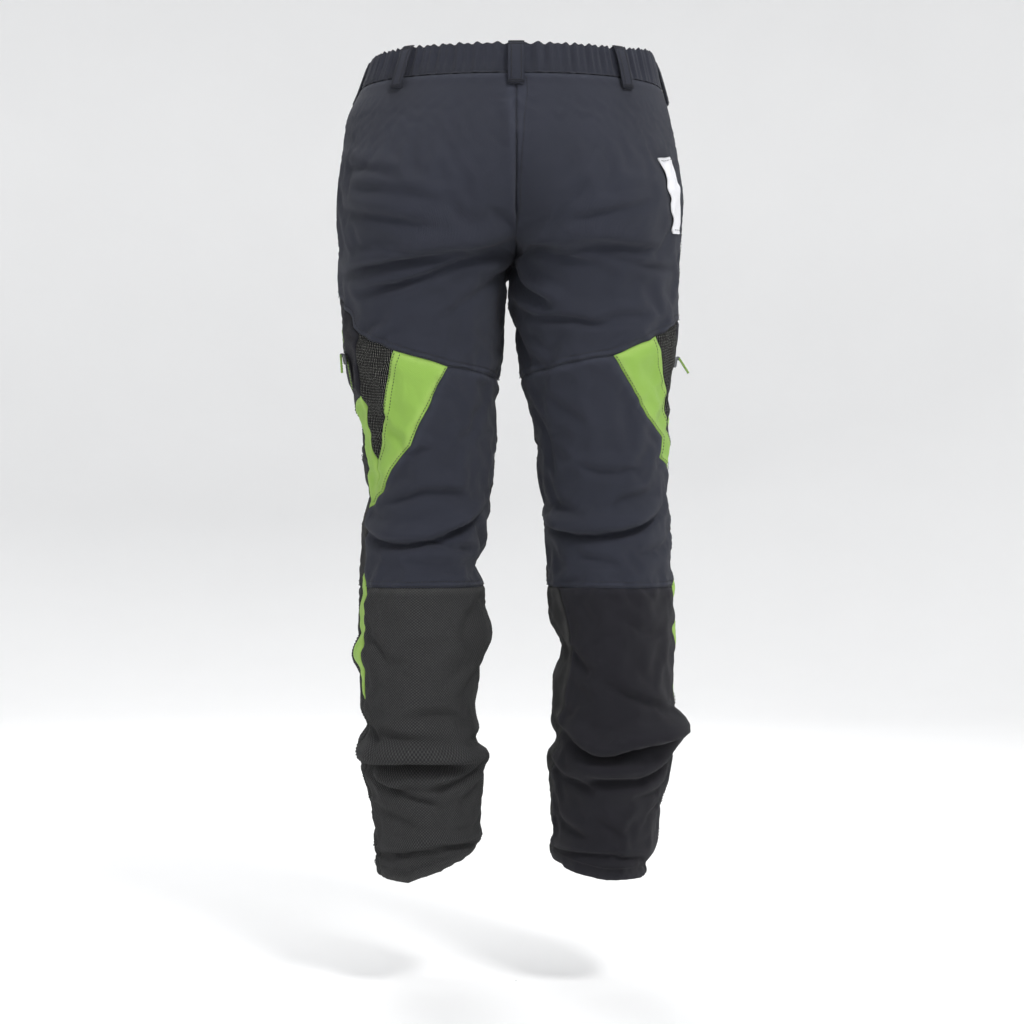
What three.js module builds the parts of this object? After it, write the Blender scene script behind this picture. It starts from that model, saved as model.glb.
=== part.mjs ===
// Chainsaw protective trousers, standing as worn: a seat and two legs of sewn cloth panels over
// protective pads and a mesh lining, with an elasticated waistband, belt loops, a fly and two thigh vents.
//
// Millimetres, +Z up. The origin is the centre of the waist opening, at the waistband's top edge.
// The wearer faces -Y, so +X is the wearer's left and the seat is at +Y.
//
// Every cloth layer lies on one surface, place(side, s, z, offset). s runs round one half of the trousers:
// above the crotch from the centre back (0) over the hip (0.5) to the centre front (1), and below it right
// round the leg from the inseam (0) over the back (0.25), the outside (0.5) and the front (0.75) to the
// inseam again (1). offset is the distance out from the cloth's outer face.
import * as THREE from "three";
import { mergeVertices } from "three/addons/utils/BufferGeometryUtils.js";

// ---------------------------------------------------------------- driving dimensions
const CLOTH = 2; // thickness of the outer cloth, hems and seam allowances counted in
const SEAM_GAP = 0.4; // each panel stops this far short of its seam line
const CENTRE_GAP = 0.5; // the left half stays this far clear of the centre plane
const BAND_LOW = -32; // lower edge of the waistband
const KNEE_SEAM = -567; // the seam round the leg under the knee
const ROUNDNESS = 2.25; // superellipse power of every cross-section: 2 is an ellipse
const PAD = [-12, -5]; // offsets of the protective pad's two faces
const LINING = [-17, -15.5]; // offsets of the leg lining's two faces

// Cross-sections of the left half, top to bottom: height, centre x, half width, centre y, half depth to the
// back and to the front. The centre moves out from the body's axis until the two legs part at the crotch.
const SECTIONS = [
  [0, 0, 157, 0, 110, 108],
  [-32, 0, 165, 2, 115, 112],
  [-60, 8, 167, 6, 121, 117],
  [-100, 30, 150, 11, 128, 121],
  [-150, 60, 124, 13, 133, 122],
  [-190, 80.5, 103, 12, 126, 115],
  [-215, 91.2, 90.5, 8, 115, 107],
  [-250, 93.5, 88, 4, 107, 102],
  [-316, 94, 84, 0, 101, 97],
  [-382, 94, 74, -3, 92, 90],
  [-447, 95, 68.5, -6, 85, 84],
  [-500, 99.5, 66, -8, 79, 81],
  [-562, 102.5, 67, -2, 80, 75],
  [-620, 104, 66, 3, 83, 71],
  [-690, 104.5, 64, 6, 79, 69],
  [-750, 102, 66, 6, 75, 70],
  [-810, 97.5, 58, 7, 69, 68],
  [-885, 95.5, 53, 7, 65, 68],
];

const LEFT = 1;
const RIGHT = -1;

// ---------------------------------------------------------------- the cloth's surface
// Smooth value of column k of the sections at height z (cubic through the sections).
function section(z, k) {
  const rows = SECTIONS;
  const height = THREE.MathUtils.clamp(z, rows[rows.length - 1][0], rows[0][0]);
  let i = 0;
  while (i < rows.length - 2 && rows[i + 1][0] > height) i += 1;
  const slope = (n) => {
    const a = rows[Math.max(n - 1, 0)];
    const b = rows[Math.min(n + 1, rows.length - 1)];
    return (b[k] - a[k]) / (b[0] - a[0]);
  };
  const span = rows[i + 1][0] - rows[i][0];
  const t = (height - rows[i][0]) / span;
  const rise = (3 - 2 * t) * t * t;
  const lead = t * (1 - t) * (1 - t) * span * slope(i);
  const trail = t * t * (1 - t) * span * slope(i + 1);
  return rows[i][k] * (1 - rise) + rows[i + 1][k] * rise + lead - trail;
}

const bulge = (v) => Math.sign(v) * Math.abs(v) ** (2 / ROUNDNESS);

// Point of the cross-section at angle phi, where 0 is the back and a quarter turn is the outside.
function ring(z, phi) {
  const depth = Math.cos(phi) > 0 ? section(z, 4) : section(z, 5);
  return new THREE.Vector2(
    section(z, 1) + section(z, 2) * bulge(Math.sin(phi)),
    section(z, 3) + depth * bulge(Math.cos(phi)),
  );
}

// Angle of s: a whole turn in a leg, and less where the section is cut off at the centre plane.
function angle(s, z) {
  const share = Math.min(1, Math.max(0, section(z, 1) - CENTRE_GAP) / section(z, 2));
  const past = Math.asin(share ** (ROUNDNESS / 2));
  return -past + s * (Math.PI + 2 * past);
}

function place(side, s, z, offset) {
  const step = 0.01;
  const phi = angle(s, z);
  const at = ring(z, phi);
  const along = ring(z, phi + step).sub(ring(z, phi - step)).normalize();
  const x = Math.max(at.x - along.y * offset, CENTRE_GAP * 0.8);
  return new THREE.Vector3(side * x, at.y + along.x * offset, z);
}

// ---------------------------------------------------------------- solids from two faces
// A closed geometry between two faces, each given as a function of (a, b) from 0 to 1.
// A ring closes on itself in a.
function between(outer, inner, across, up, isRing = false) {
  const columns = isRing ? across : across + 1;
  const points = [];
  for (const face of [outer, inner])
    for (let j = 0; j <= up; j += 1)
      for (let i = 0; i < columns; i += 1) points.push(face(i / across, j / up));
  const layer = columns * (up + 1);
  const at = (face, i, j) => face * layer + j * columns + (i % columns);
  const index = [];
  const quad = (a, b, c, d) => index.push(a, b, c, a, c, d);
  for (let j = 0; j < up; j += 1)
    for (let i = 0; i < across; i += 1) {
      quad(at(0, i, j), at(0, i + 1, j), at(0, i + 1, j + 1), at(0, i, j + 1));
      quad(at(1, i, j), at(1, i, j + 1), at(1, i + 1, j + 1), at(1, i + 1, j));
    }
  for (let i = 0; i < across; i += 1) {
    quad(at(0, i, 0), at(1, i, 0), at(1, i + 1, 0), at(0, i + 1, 0));
    quad(at(0, i, up), at(0, i + 1, up), at(1, i + 1, up), at(1, i, up));
  }
  if (!isRing)
    for (let j = 0; j < up; j += 1) {
      quad(at(0, 0, j), at(0, 0, j + 1), at(1, 0, j + 1), at(1, 0, j));
      quad(at(0, across, j), at(1, across, j), at(1, across, j + 1), at(0, across, j + 1));
    }
  return faceOut(points, index);
}

// Geometry of these points and triangles, turned so that its faces point out.
function faceOut(points, index) {
  let volume = 0;
  for (let i = 0; i < index.length; i += 3) {
    const [a, b, c] = [points[index[i]], points[index[i + 1]], points[index[i + 2]]];
    volume += a.dot(b.clone().cross(c));
  }
  if (volume < 0)
    for (let i = 0; i < index.length; i += 3)
      [index[i + 1], index[i + 2]] = [index[i + 2], index[i + 1]];
  const geometry = new THREE.BufferGeometry().setFromPoints(points);
  geometry.setIndex(index);
  return mergeVertices(geometry, 1e-3);
}

// ---------------------------------------------------------------- plain strips, bands and tubes
// A strip of one half, from s0 to s1 and z0 to z1, between two offsets.
function strip(side, s0, s1, z0, z1, across, up, [low, high]) {
  const face = (offset) => (a, b) => place(side, s0 + (s1 - s0) * a, z0 + (z1 - z0) * b, offset);
  return between(face(high), face(low), across, up);
}

// A band round the waist: a runs from -1 (the right half's front) over 0 (centre back) to 1.
function band(a0, a1, z0, z1, across, up, [low, high]) {
  const face = (offset) => (u, v) => {
    const a = a0 + (a1 - a0) * u;
    const p = place(a < 0 ? RIGHT : LEFT, Math.abs(a), z0 + (z1 - z0) * v, offset);
    if (Math.abs(a) < 1e-6) p.x = 0;
    return p;
  };
  return between(face(high), face(low), across, up);
}

// A closed tube inside one leg.
function tube(side, z0, z1, across, up, [low, high]) {
  const face = (offset) => (a, b) => place(side, a, z0 + (z1 - z0) * b, offset);
  return between(face(high), face(low), across, up, true);
}

// ---------------------------------------------------------------- cloth panels
// A panel is a patch between four seam lines, each a list of [s, z] corners. Two panels that share a seam
// both have a grid line at each of its corners, so that they keep the same narrow gap all along it.
const GIRTH = 450; // a rough girth that turns a step of s into millimetres
const MOST_STEP = 26; // grid lines lie no further apart than this

const far = (p, q) => Math.hypot((q[0] - p[0]) * GIRTH, q[1] - p[1]);
const first = (line) => line[0];
const last = (line) => line[line.length - 1];
const mix = (p, q, f) => p.map((v, k) => v + (q[k] - v) * f);

// The share of a line's length at each of its corners, from 0 to 1.
function shares(line) {
  const reach = [0];
  for (let i = 1; i < line.length; i += 1) reach.push(reach[i - 1] + far(line[i - 1], line[i]));
  return reach.map((r) => r / reach[reach.length - 1]);
}

function pointAt(line, t) {
  const reach = shares(line);
  let i = 0;
  while (i < line.length - 2 && reach[i + 1] < t) i += 1;
  return mix(line[i], line[i + 1], (t - reach[i]) / (reach[i + 1] - reach[i]));
}

// Grid lines at the corners of two facing edges, and between them where they are far apart.
function stops(one, other) {
  const close = 0.001;
  const length = (line) => line.slice(1).reduce((sum, p, i) => sum + far(line[i], p), 0);
  const longest = Math.max(length(one), length(other));
  const own = shares(one);
  const corners = [...own, ...shares(other).filter((t) => own.every((o) => Math.abs(o - t) > close))];
  corners.sort((p, q) => p - q);
  const all = [0];
  for (const t of corners.slice(1)) {
    const last = all[all.length - 1];
    const count = Math.ceil(((t - last) * longest) / MOST_STEP);
    for (let n = 1; n <= count; n += 1) all.push(last + ((t - last) * n) / count);
  }
  return all;
}

// A panel's place in [s, z] at (a, b): a runs from the left edge to the right one, b from top to bottom.
// Every edge is drawn in from its seam line by the seam gap.
function patch({ top, bottom, left, right }) {
  const corners = [first(top), last(top), first(bottom), last(bottom)];
  return (a, b) => {
    const shareOf = [(1 - a) * (1 - b), a * (1 - b), (1 - a) * b, a * b];
    const [l, r, t, d] = [pointAt(left, b), pointAt(right, b), pointAt(top, a), pointAt(bottom, a)];
    const [s, z] = [0, 1].map((k) => {
      const twice = corners.reduce((sum, p, i) => sum + p[k] * shareOf[i], 0);
      return (1 - a) * l[k] + a * r[k] + (1 - b) * t[k] + b * d[k] - twice;
    });
    return [s + ((1 - 2 * a) * SEAM_GAP) / GIRTH, z - (1 - 2 * b) * SEAM_GAP];
  };
}

function panel(side, edges) {
  const at = patch(edges);
  const columns = stops(edges.top, edges.bottom);
  const rows = stops(edges.left, edges.right);
  const [across, down] = [columns.length - 1, rows.length - 1];
  const face = (offset) => (u, v) =>
    place(side, ...at(columns[Math.round(u * across)], rows[Math.round(v * down)]), offset);
  return between(face(0), face(-CLOTH), across, down);
}

// ---------------------------------------------------------------- seam lines of each leg, in [s, z]
const FLY_EDGE = [[0.965, BAND_LOW], [0.965, -160], [0.985, -186], [1, -194]];

// Each line runs down or away from the inseam. Where two lines meet in a sharp tip, the cloth between them
// stops a little short of it. The left leg is turned inwards on the wearer, so its side seams lie nearer
// the back.
const SEAMS = {
  left: {
    thighBack: [[0, -345], [0.1, -340], [0.2, -334]],
    flashTop: [[0.2, -334], [0.294, -318]],
    meshTop: [[0.294, -318], [0.39, -298]],
    ventTop: [[0.39, -298], [0.42, -276], [0.5, -252]],
    thighFront: [[0.5, -252], [0.62, -282], [0.8, -318], [1, -345]],
    flashBack: [[0.2, -334], [0.282, -415], [0.335, -441], [0.364, -464], [0.406, -478]],
    flashFront: [[0.294, -318], [0.336, -377], [0.3786, -424]],
    flashLow: [[0.384, -430], [0.384, -447], [0.4175, -478]],
    meshFront: [[0.39, -298], [0.4, -346], [0.406, -362], [0.405, -416], [0.393, -424]],
    flareTop: [[0.406, -362], [0.47, -366]],
    flareFront: [[0.47, -366], [0.474, -396], [0.45, -430]],
    flareLow: [[0.45, -430], [0.4269, -478]],
    kneeTop: [[0.45, -430], [0.6, -407], [0.75, -398], [0.9, -407], [1, -430]],
    side: [[0.424, -484], [0.43, -515], [0.431, -546]],
    stripeBack: [[0.4274, -550], [0.415, KNEE_SEAM], [0.412, -640], [0.4265, -690]],
    stripeFront: [[0.4357, -550], [0.452, KNEE_SEAM], [0.454, -640], [0.4346, -690]],
    ankle: [[0.43, -702], [0.436, -881]],
    hemBack: [[0, -845], [0.15, -862], [0.3, -882], [0.436, -881]],
    hemFront: [[0.436, -881], [0.6, -872], [0.75, -860], [1, -845]],
    calfIn: [[0, KNEE_SEAM], [0, -845]],
  },
  right: {
    thighBack: [[0, -343], [0.15, -335], [0.272, -323]],
    flashTop: [[0.272, -323], [0.374, -301]],
    meshTop: [[0.374, -301], [0.47, -281]],
    ventTop: [[0.47, -281], [0.5, -279]],
    thighFront: [[0.5, -279], [0.65, -290], [0.8, -318], [1, -343]],
    flashBack: [[0.272, -323], [0.316, -357], [0.354, -386], [0.405, -406], [0.404, -425], [0.468, -441]],
    flashFront: [[0.374, -301], [0.399, -334], [0.441, -363], [0.445, -390], [0.475, -407]],
    flashLow: [[0.49, -417], [0.484, -441]],
    meshFront: [[0.47, -281], [0.51, -346], [0.51, -362], [0.51, -378], [0.503, -400], [0.496, -407]],
    flareTop: [[0.51, -362], [0.57, -366]],
    flareFront: [[0.57, -366], [0.574, -396], [0.55, -430]],
    flareLow: [[0.55, -430], [0.508, -441]],
    kneeTop: [[0.55, -430], [0.65, -407], [0.78, -398], [0.9, -407], [1, -430]],
    side: [[0.49, -446], [0.496, -515], [0.497, -546]],
    stripeBack: [[0.4932, -550], [0.48, KNEE_SEAM], [0.478, -640], [0.4909, -690]],
    stripeFront: [[0.5014, -550], [0.517, KNEE_SEAM], [0.519, -640], [0.4985, -690]],
    ankle: [[0.494, -702], [0.49, -879]],
    hemBack: [[0, -862], [0.25, -879], [0.49, -879]],
    hemFront: [[0.49, -879], [0.6, -870], [0.75, -860], [0.9, -858], [1, -862]],
    calfIn: [[0.09, KNEE_SEAM], [0.12, -600], [0.12, -650], [0.09, -705], [0.05, -780], [0, -862]],
  },
};

// ---------------------------------------------------------------- panels of each leg
// The four edges of every panel of one leg.
function panels(seams, hasInnerCalf) {
  const { thighBack, thighFront, flashTop, flashBack, flashFront, flashLow, meshTop, meshFront } = seams;
  const { ventTop, flareTop, flareFront, flareLow, kneeTop, side, stripeBack, stripeFront } = seams;
  const { ankle, calfIn, hemBack, hemFront } = seams;
  const flareCorner = meshFront.findIndex(([, z]) => z === first(flareTop)[1]);
  const flareBack = meshFront.slice(flareCorner, -1);
  const split = (line, at) => [line.filter(([, z]) => z >= at), line.filter(([, z]) => z <= at)];
  const [stripeBackHigh, stripeBackLow] = split(stripeBack, KNEE_SEAM);
  const [stripeFrontHigh, stripeFrontLow] = split(stripeFront, KNEE_SEAM);
  const outer = {
    seat_panel: {
      top: [[0, BAND_LOW], [0.5, BAND_LOW]],
      bottom: [...thighBack, ...flashTop.slice(1), ...meshTop.slice(1), ...ventTop.slice(1)],
      left: [[0, BAND_LOW], thighBack[0]],
      right: [[0.5, BAND_LOW], last(ventTop)],
    },
    front_panel: {
      top: [[0.5, BAND_LOW], FLY_EDGE[0]],
      bottom: thighFront,
      left: [[0.5, BAND_LOW], thighFront[0]],
      right: [...FLY_EDGE, last(thighFront)],
    },
    back_knee_panel: {
      top: thighBack,
      bottom: [[0, KNEE_SEAM], last(stripeBackHigh)],
      left: [thighBack[0], [0, KNEE_SEAM]],
      right: [...flashBack.slice(0, -1), ...side, last(stripeBackHigh)],
    },
    thigh_flash: {
      top: flashTop,
      bottom: [last(flashBack), last(flashLow)],
      left: flashBack,
      right: [...flashFront.slice(0, -1), ...flashLow],
    },
    vent_mesh: {
      top: meshTop,
      bottom: [last(flashFront), last(meshFront)],
      left: flashFront,
      right: meshFront,
    },
    front_flash: {
      top: flareTop,
      bottom: [last(flashLow), last(flareLow)],
      left: [...flareBack, ...flashLow],
      right: [...flareFront, ...flareLow.slice(1)],
    },
    front_thigh_panel: {
      top: [...ventTop, ...thighFront.slice(1)],
      bottom: kneeTop,
      left: [...meshFront.slice(0, 2), ...flareTop, ...flareFront.slice(1)],
      right: [last(thighFront), last(kneeTop)],
    },
    knee_panel: {
      top: kneeTop,
      bottom: [last(stripeFrontHigh), [1, KNEE_SEAM]],
      left: [kneeTop[0], ...side, last(stripeFrontHigh)],
      right: [last(kneeTop), [1, KNEE_SEAM]],
    },
    shin_stripe: {
      top: [stripeBack[0], stripeFront[0]],
      bottom: [last(stripeBack), last(stripeFront)],
      left: stripeBack,
      right: stripeFront,
    },
    calf_panel: {
      top: [calfIn[0], stripeBackLow[0]],
      bottom: hemBack,
      left: calfIn,
      right: [...stripeBackLow.slice(0, -1), ...ankle],
    },
    shin_panel: {
      top: [stripeFrontLow[0], [1, KNEE_SEAM]],
      bottom: hemFront,
      left: [...stripeFrontLow.slice(0, -1), ...ankle],
      right: [[1, KNEE_SEAM], last(hemFront)],
    },
  };
  if (hasInnerCalf) {
    const tip = mix(calfIn[4], calfIn[5], 0.8);
    outer.inner_calf_panel = {
      top: [[0, KNEE_SEAM], calfIn[0]],
      bottom: [[0, tip[1]], tip],
      left: [[0, KNEE_SEAM], [0, tip[1]]],
      right: [...calfIn.slice(0, -1), tip],
    };
  }
  return outer;
}

// ---------------------------------------------------------------- materials
const cloth = (color, roughness) => new THREE.MeshStandardMaterial({ color, roughness, metalness: 0 });
const MATERIAL = {
  charcoal: cloth(0x36383f, 0.8),
  black: cloth(0x27262c, 0.8),
  textured: cloth(0x373837, 0.95),
  lime: cloth(0x9bbf5b, 0.75),
  mesh: cloth(0x18181a, 0.9),
  pad: cloth(0xd8d4c4, 0.95),
  lining: cloth(0x2a2b2e, 0.9),
  elastic: cloth(0xe4e2dc, 0.85),
  label: cloth(0xe6e6e8, 0.6),
  tape: cloth(0x1a1a1c, 0.5),
  metal: new THREE.MeshStandardMaterial({ color: 0x6d6f72, roughness: 0.35, metalness: 0.9 }),
  pull: cloth(0xa6c860, 0.5),
};
const BOTH_LEGS = {
  seat_panel: "charcoal",
  front_panel: "charcoal",
  back_knee_panel: "charcoal",
  thigh_flash: "lime",
  vent_mesh: "mesh",
  front_flash: "lime",
  front_thigh_panel: "black",
  knee_panel: "textured",
  shin_stripe: "lime",
  shin_panel: "textured",
  inner_calf_panel: "textured",
};
const PANEL_CLOTH = {
  left: { ...BOTH_LEGS, calf_panel: "textured" },
  right: { ...BOTH_LEGS, calf_panel: "black" },
};

const trousers = new THREE.Group();

function add(name, geometry, material, parent = trousers) {
  const mesh = new THREE.Mesh(geometry, MATERIAL[material]);
  mesh.name = name;
  parent.add(mesh);
  return mesh;
}

// ---------------------------------------------------------------- waistband and what lies in it
const BAND_LAYERS = { outer: [-CLOTH, 0], elastic: [-4.5, -3.2], lining: [-7.4, -6] };
const BAND = { side: 0.5, seam: 0.002, leftEnd: 0.93, rightEnd: 0.975, elasticEnd: 0.44 };
const HIP_LINING = { offsets: [-10.5, -9], low: -150, high: -40, end: 0.955 };

function waistband() {
  const waist = (name, a0, a1, z0, z1, across, layer, material) =>
    add(name, band(a0, a1, z0, z1, across, 1, BAND_LAYERS[layer]), material);
  const { side, seam, leftEnd, rightEnd, elasticEnd } = BAND;
  waist("waistband_back", seam - side, side - seam, BAND_LOW, 0, 20, "outer", "charcoal");
  waist("waistband_front_left", side + seam, leftEnd, BAND_LOW, 0, 9, "outer", "charcoal");
  waist("waistband_front_right", -rightEnd, -side - seam, BAND_LOW, 0, 10, "outer", "charcoal");
  waist("waistband_elastic", -elasticEnd, elasticEnd, BAND_LOW + 3, -3, 18, "elastic", "elastic");
  waist("waistband_lining", -leftEnd, leftEnd, BAND_LOW, -1, 34, "lining", "lining");
  const { offsets, low, high, end } = HIP_LINING;
  add("hip_lining", band(-end, end, low, high, 34, 4, offsets), "lining");
}

// ---------------------------------------------------------------- belt loops
const LOOP = { width: 18, length: 47, thick: 2, bow: 8.5, foot: 0.4, top: -1 };
const LOOPS = {
  belt_loop_centre_back: [LEFT, 0],
  belt_loop_back_left: [LEFT, 0.235],
  belt_loop_back_right: [RIGHT, 0.24],
  belt_loop_side_left: [LEFT, 0.5],
  belt_loop_side_right: [RIGHT, 0.5],
  belt_loop_front_left: [LEFT, 0.78],
  belt_loop_front_right: [RIGHT, 0.78],
};

// A flat strip that bows out from the band: its ends are sewn down and a belt passes behind it.
function beltLoop(side, s) {
  const isCentre = s === 0;
  const step = 0.01;
  const run = isCentre
    ? new THREE.Vector3(1, 0, 0)
    : place(side, s + step, 0, 0).sub(place(side, s - step, 0, 0)).normalize();
  const out = place(side, s, 0, 1).sub(place(side, s, 0, 0));
  if (isCentre) out.set(0, 1, 0);
  const face = (lift) => (a, b) => {
    const p = place(side, s, LOOP.top - LOOP.length * (1 - b), 0);
    if (isCentre) p.x = 0;
    const bow = LOOP.bow * Math.sin(Math.PI * b) ** 0.45;
    return p.addScaledVector(out, LOOP.foot + bow + lift).addScaledVector(run, (a - 0.5) * LOOP.width);
  };
  return between(face(LOOP.thick), face(0), 1, 12);
}

// ---------------------------------------------------------------- waist closure: tab and press stud
const TAB = { root: 50, end: -26, low: -30, high: -3, y: -113.3, thick: 2 };
const SNAP = { x: -16, z: -16.5, cap: 7.5, capHigh: 2, stud: 3, studHigh: 2.4, gap: 0.3 };

function waistClosure() {
  const tab = new THREE.BoxGeometry(TAB.root - TAB.end, TAB.thick, TAB.high - TAB.low);
  tab.translate((TAB.root + TAB.end) / 2, TAB.y, (TAB.high + TAB.low) / 2);
  add("waist_tab", tab, "charcoal");
  const cap = new THREE.CylinderGeometry(SNAP.cap, SNAP.cap, SNAP.capHigh, 24);
  const capAt = TAB.y - TAB.thick / 2 - SNAP.gap - SNAP.capHigh / 2;
  add("snap_cap", cap, "metal").position.set(SNAP.x, capAt, SNAP.z);
  const stud = new THREE.CylinderGeometry(SNAP.stud, SNAP.stud, SNAP.studHigh, 16);
  const studAt = TAB.y + TAB.thick / 2 + SNAP.gap + SNAP.studHigh / 2;
  add("snap_stud", stud, "metal").position.set(SNAP.x, studAt, SNAP.z);
}

// ---------------------------------------------------------------- zips
// A zip lies in a frame of its own: origin at the tape's top, X across, Y out of the cloth, Z up the tape.
const ZIP = { tape: 1.2, lift: 0.9, slider: [8, 4.2, 12], pull: { long: 20, half: 3, thick: 1.6, gap: 0.8 } };

function zip(name, top, bottom, out, width, drop, tilt, pullMaterial) {
  const frame = new THREE.Group();
  const up = top.clone().sub(bottom);
  const length = up.length();
  up.normalize();
  const across = out.clone().cross(up).normalize();
  frame.quaternion.setFromRotationMatrix(new THREE.Matrix4().makeBasis(across, up.clone().cross(across), up));
  frame.position.copy(top);
  trousers.add(frame);
  add(name + "_zip_tape", new THREE.BoxGeometry(width, ZIP.tape, length), "tape", frame).position.z = -length / 2;
  const [wide, deep, high] = ZIP.slider;
  const slider = add(name + "_zip_slider", new THREE.BoxGeometry(wide, deep, high), "metal", frame);
  slider.position.set(0, ZIP.tape / 2 + ZIP.lift + deep / 2, -drop);
  const { long, half, thick, gap } = ZIP.pull;
  const outline = new THREE.Shape();
  outline.moveTo(-half, 0);
  outline.lineTo(half, 0);
  outline.lineTo(half, half - long);
  outline.absarc(0, half - long, half, 0, -Math.PI, true);
  outline.closePath();
  const tab = new THREE.ExtrudeGeometry(outline, { depth: thick, bevelEnabled: false, curveSegments: 6 });
  tab.rotateX(Math.PI / 2);
  const pull = add(name + "_zip_pull", faceUp(tab), pullMaterial, frame);
  pull.position.set(0, slider.position.y + deep / 2 + gap + thick, high / 2 - drop);
  pull.rotation.x = tilt;
}

// Merge a geometry's corners so that it is one closed surface.
function faceUp(geometry) {
  geometry.deleteAttribute("normal");
  geometry.deleteAttribute("uv");
  return mergeVertices(geometry);
}

// ---------------------------------------------------------------- fly
const FLY = { top: -42, bottom: -166, width: 22, depth: 19, drop: 10, tilt: 0 };
const PLACKET = { left: 21, right: -15, top: -35, bottom: -176, lift: 1.2 };

// The front cloth's y at a distance x from the centre plane.
function frontY(x, z) {
  const reach = Math.abs(Math.abs(x) - section(z, 1)) / section(z, 2);
  return section(z, 3) - section(z, 5) * (1 - reach ** ROUNDNESS) ** (1 / ROUNDNESS);
}

function fly() {
  const at = (z) => new THREE.Vector3(0, frontY(0, z) + FLY.depth, z);
  const out = new THREE.Vector3(0, -1, 0);
  zip("fly", at(FLY.top), at(FLY.bottom), out, FLY.width, FLY.drop, FLY.tilt, "metal");
  const { left, right, top, bottom, lift } = PLACKET;
  const face = (depth) => (a, b) => {
    const x = right + (left - right) * a;
    const z = bottom + (top - bottom) * b;
    return new THREE.Vector3(x, frontY(x, z) - lift - depth, z);
  };
  add("fly_placket", between(face(CLOTH), face(0), 6, 6), "charcoal");
}

// ---------------------------------------------------------------- thigh vents
const VENTS = {
  left: { side: LEFT, topS: 0.462, bottomS: 0.432, tilt: 0.1 },
  right: { side: RIGHT, topS: 0.52, bottomS: 0.53, tilt: 0.7 },
};
const VENT = { top: -290, bottom: -354, width: 13, lift: 2.4, drop: 32 };

function vent(name, { side, topS, bottomS, tilt }) {
  const top = place(side, topS, VENT.top, VENT.lift);
  const bottom = place(side, bottomS, VENT.bottom, VENT.lift);
  const out = place(side, topS, VENT.top, 1).sub(place(side, topS, VENT.top, 0));
  zip(name + "_vent", top, bottom, out, VENT.width, VENT.drop, tilt, "pull");
}

// ---------------------------------------------------------------- pocket bags, pads, linings and label
const POCKET = { s: [0.62, 0.84], z: [-168, -52], offsets: [-7.4, -4] };
const LABEL = { s: [0.34, 0.4], z: [-194, -114], offsets: [0.8, 1.6] };
const GUARD = { s: [0.47, 0.97], thigh: [-408, -272], shin: [-800, -578] };
const TUBE = { thigh: [-420, -262], shin: [-838, -582] };

function legInside(name, side) {
  add(name + "_pocket_bag", strip(side, ...POCKET.s, ...POCKET.z, 5, 3, POCKET.offsets), "lining");
  add(name + "_thigh_pad", strip(side, ...GUARD.s, ...GUARD.thigh, 10, 3, PAD), "pad");
  add(name + "_shin_pad", strip(side, ...GUARD.s, ...GUARD.shin, 10, 4, PAD), "pad");
  add(name + "_thigh_lining", tube(side, ...TUBE.thigh, 20, 3, LINING), "lining");
  add(name + "_shin_lining", tube(side, ...TUBE.shin, 20, 5, LINING), "lining");
}

waistband();
for (const [name, [side, s]] of Object.entries(LOOPS)) add(name, beltLoop(side, s), "charcoal");
waistClosure();
fly();
add("hip_label", strip(RIGHT, ...LABEL.s, ...LABEL.z, 3, 4, LABEL.offsets), "label");
for (const [name, side] of [["left", LEFT], ["right", RIGHT]]) {
  for (const [part, edges] of Object.entries(panels(SEAMS[name], side === RIGHT)))
    add(name + "_" + part, panel(side, edges), PANEL_CLOTH[name][part]);
  legInside(name, side);
  vent(name, VENTS[name]);
}

export default trousers;
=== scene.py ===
"""Chainsaw protective trousers, standing as worn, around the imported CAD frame.

Every piece of cloth lies on one surface, at(side, s, z, offset) in millimetres. s runs round one half of
the trousers: above the crotch from the centre back (0) to the centre front (1), and below it right round
the leg from the inseam (0) over the back, the outside (0.5) and the front to the inseam again (1).
"""
import math

import bpy
import numpy as np
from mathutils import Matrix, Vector
from mathutils.geometry import delaunay_2d_cdt


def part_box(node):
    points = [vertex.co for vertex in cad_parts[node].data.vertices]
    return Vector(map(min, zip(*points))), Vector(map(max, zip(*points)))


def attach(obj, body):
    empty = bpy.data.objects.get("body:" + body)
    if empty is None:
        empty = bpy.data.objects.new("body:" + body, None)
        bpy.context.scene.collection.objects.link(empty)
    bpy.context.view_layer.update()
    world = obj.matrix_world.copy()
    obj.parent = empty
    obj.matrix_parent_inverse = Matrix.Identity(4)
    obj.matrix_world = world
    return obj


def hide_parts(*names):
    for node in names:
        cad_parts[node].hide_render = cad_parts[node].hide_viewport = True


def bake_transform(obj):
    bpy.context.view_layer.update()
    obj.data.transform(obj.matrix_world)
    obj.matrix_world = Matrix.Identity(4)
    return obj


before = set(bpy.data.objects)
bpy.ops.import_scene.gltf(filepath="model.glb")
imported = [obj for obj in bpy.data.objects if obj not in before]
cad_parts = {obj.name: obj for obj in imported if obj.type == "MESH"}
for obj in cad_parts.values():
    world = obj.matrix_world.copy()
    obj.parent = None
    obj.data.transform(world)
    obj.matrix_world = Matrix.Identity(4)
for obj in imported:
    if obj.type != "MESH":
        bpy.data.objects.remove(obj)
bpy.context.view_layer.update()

# ------------------------------------------------------------------ driving dimensions, in millimetres
MM = 0.001
LEFT, RIGHT = 1, -1
FRONT = np.array([0, -1.0, 0])  # out of the front of the trousers
NAMES = {LEFT: "left", RIGHT: "right"}
ROUNDNESS = 2.25  # superellipse power of every cross-section
GIRTH = 450.0  # a rough girth that turns a step of s into millimetres
BAND_LOW = -32.0
KNEE_SEAM = -567.0
CLOTH = 1.2
HEM = -886.0
CROTCH = -214.0

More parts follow.
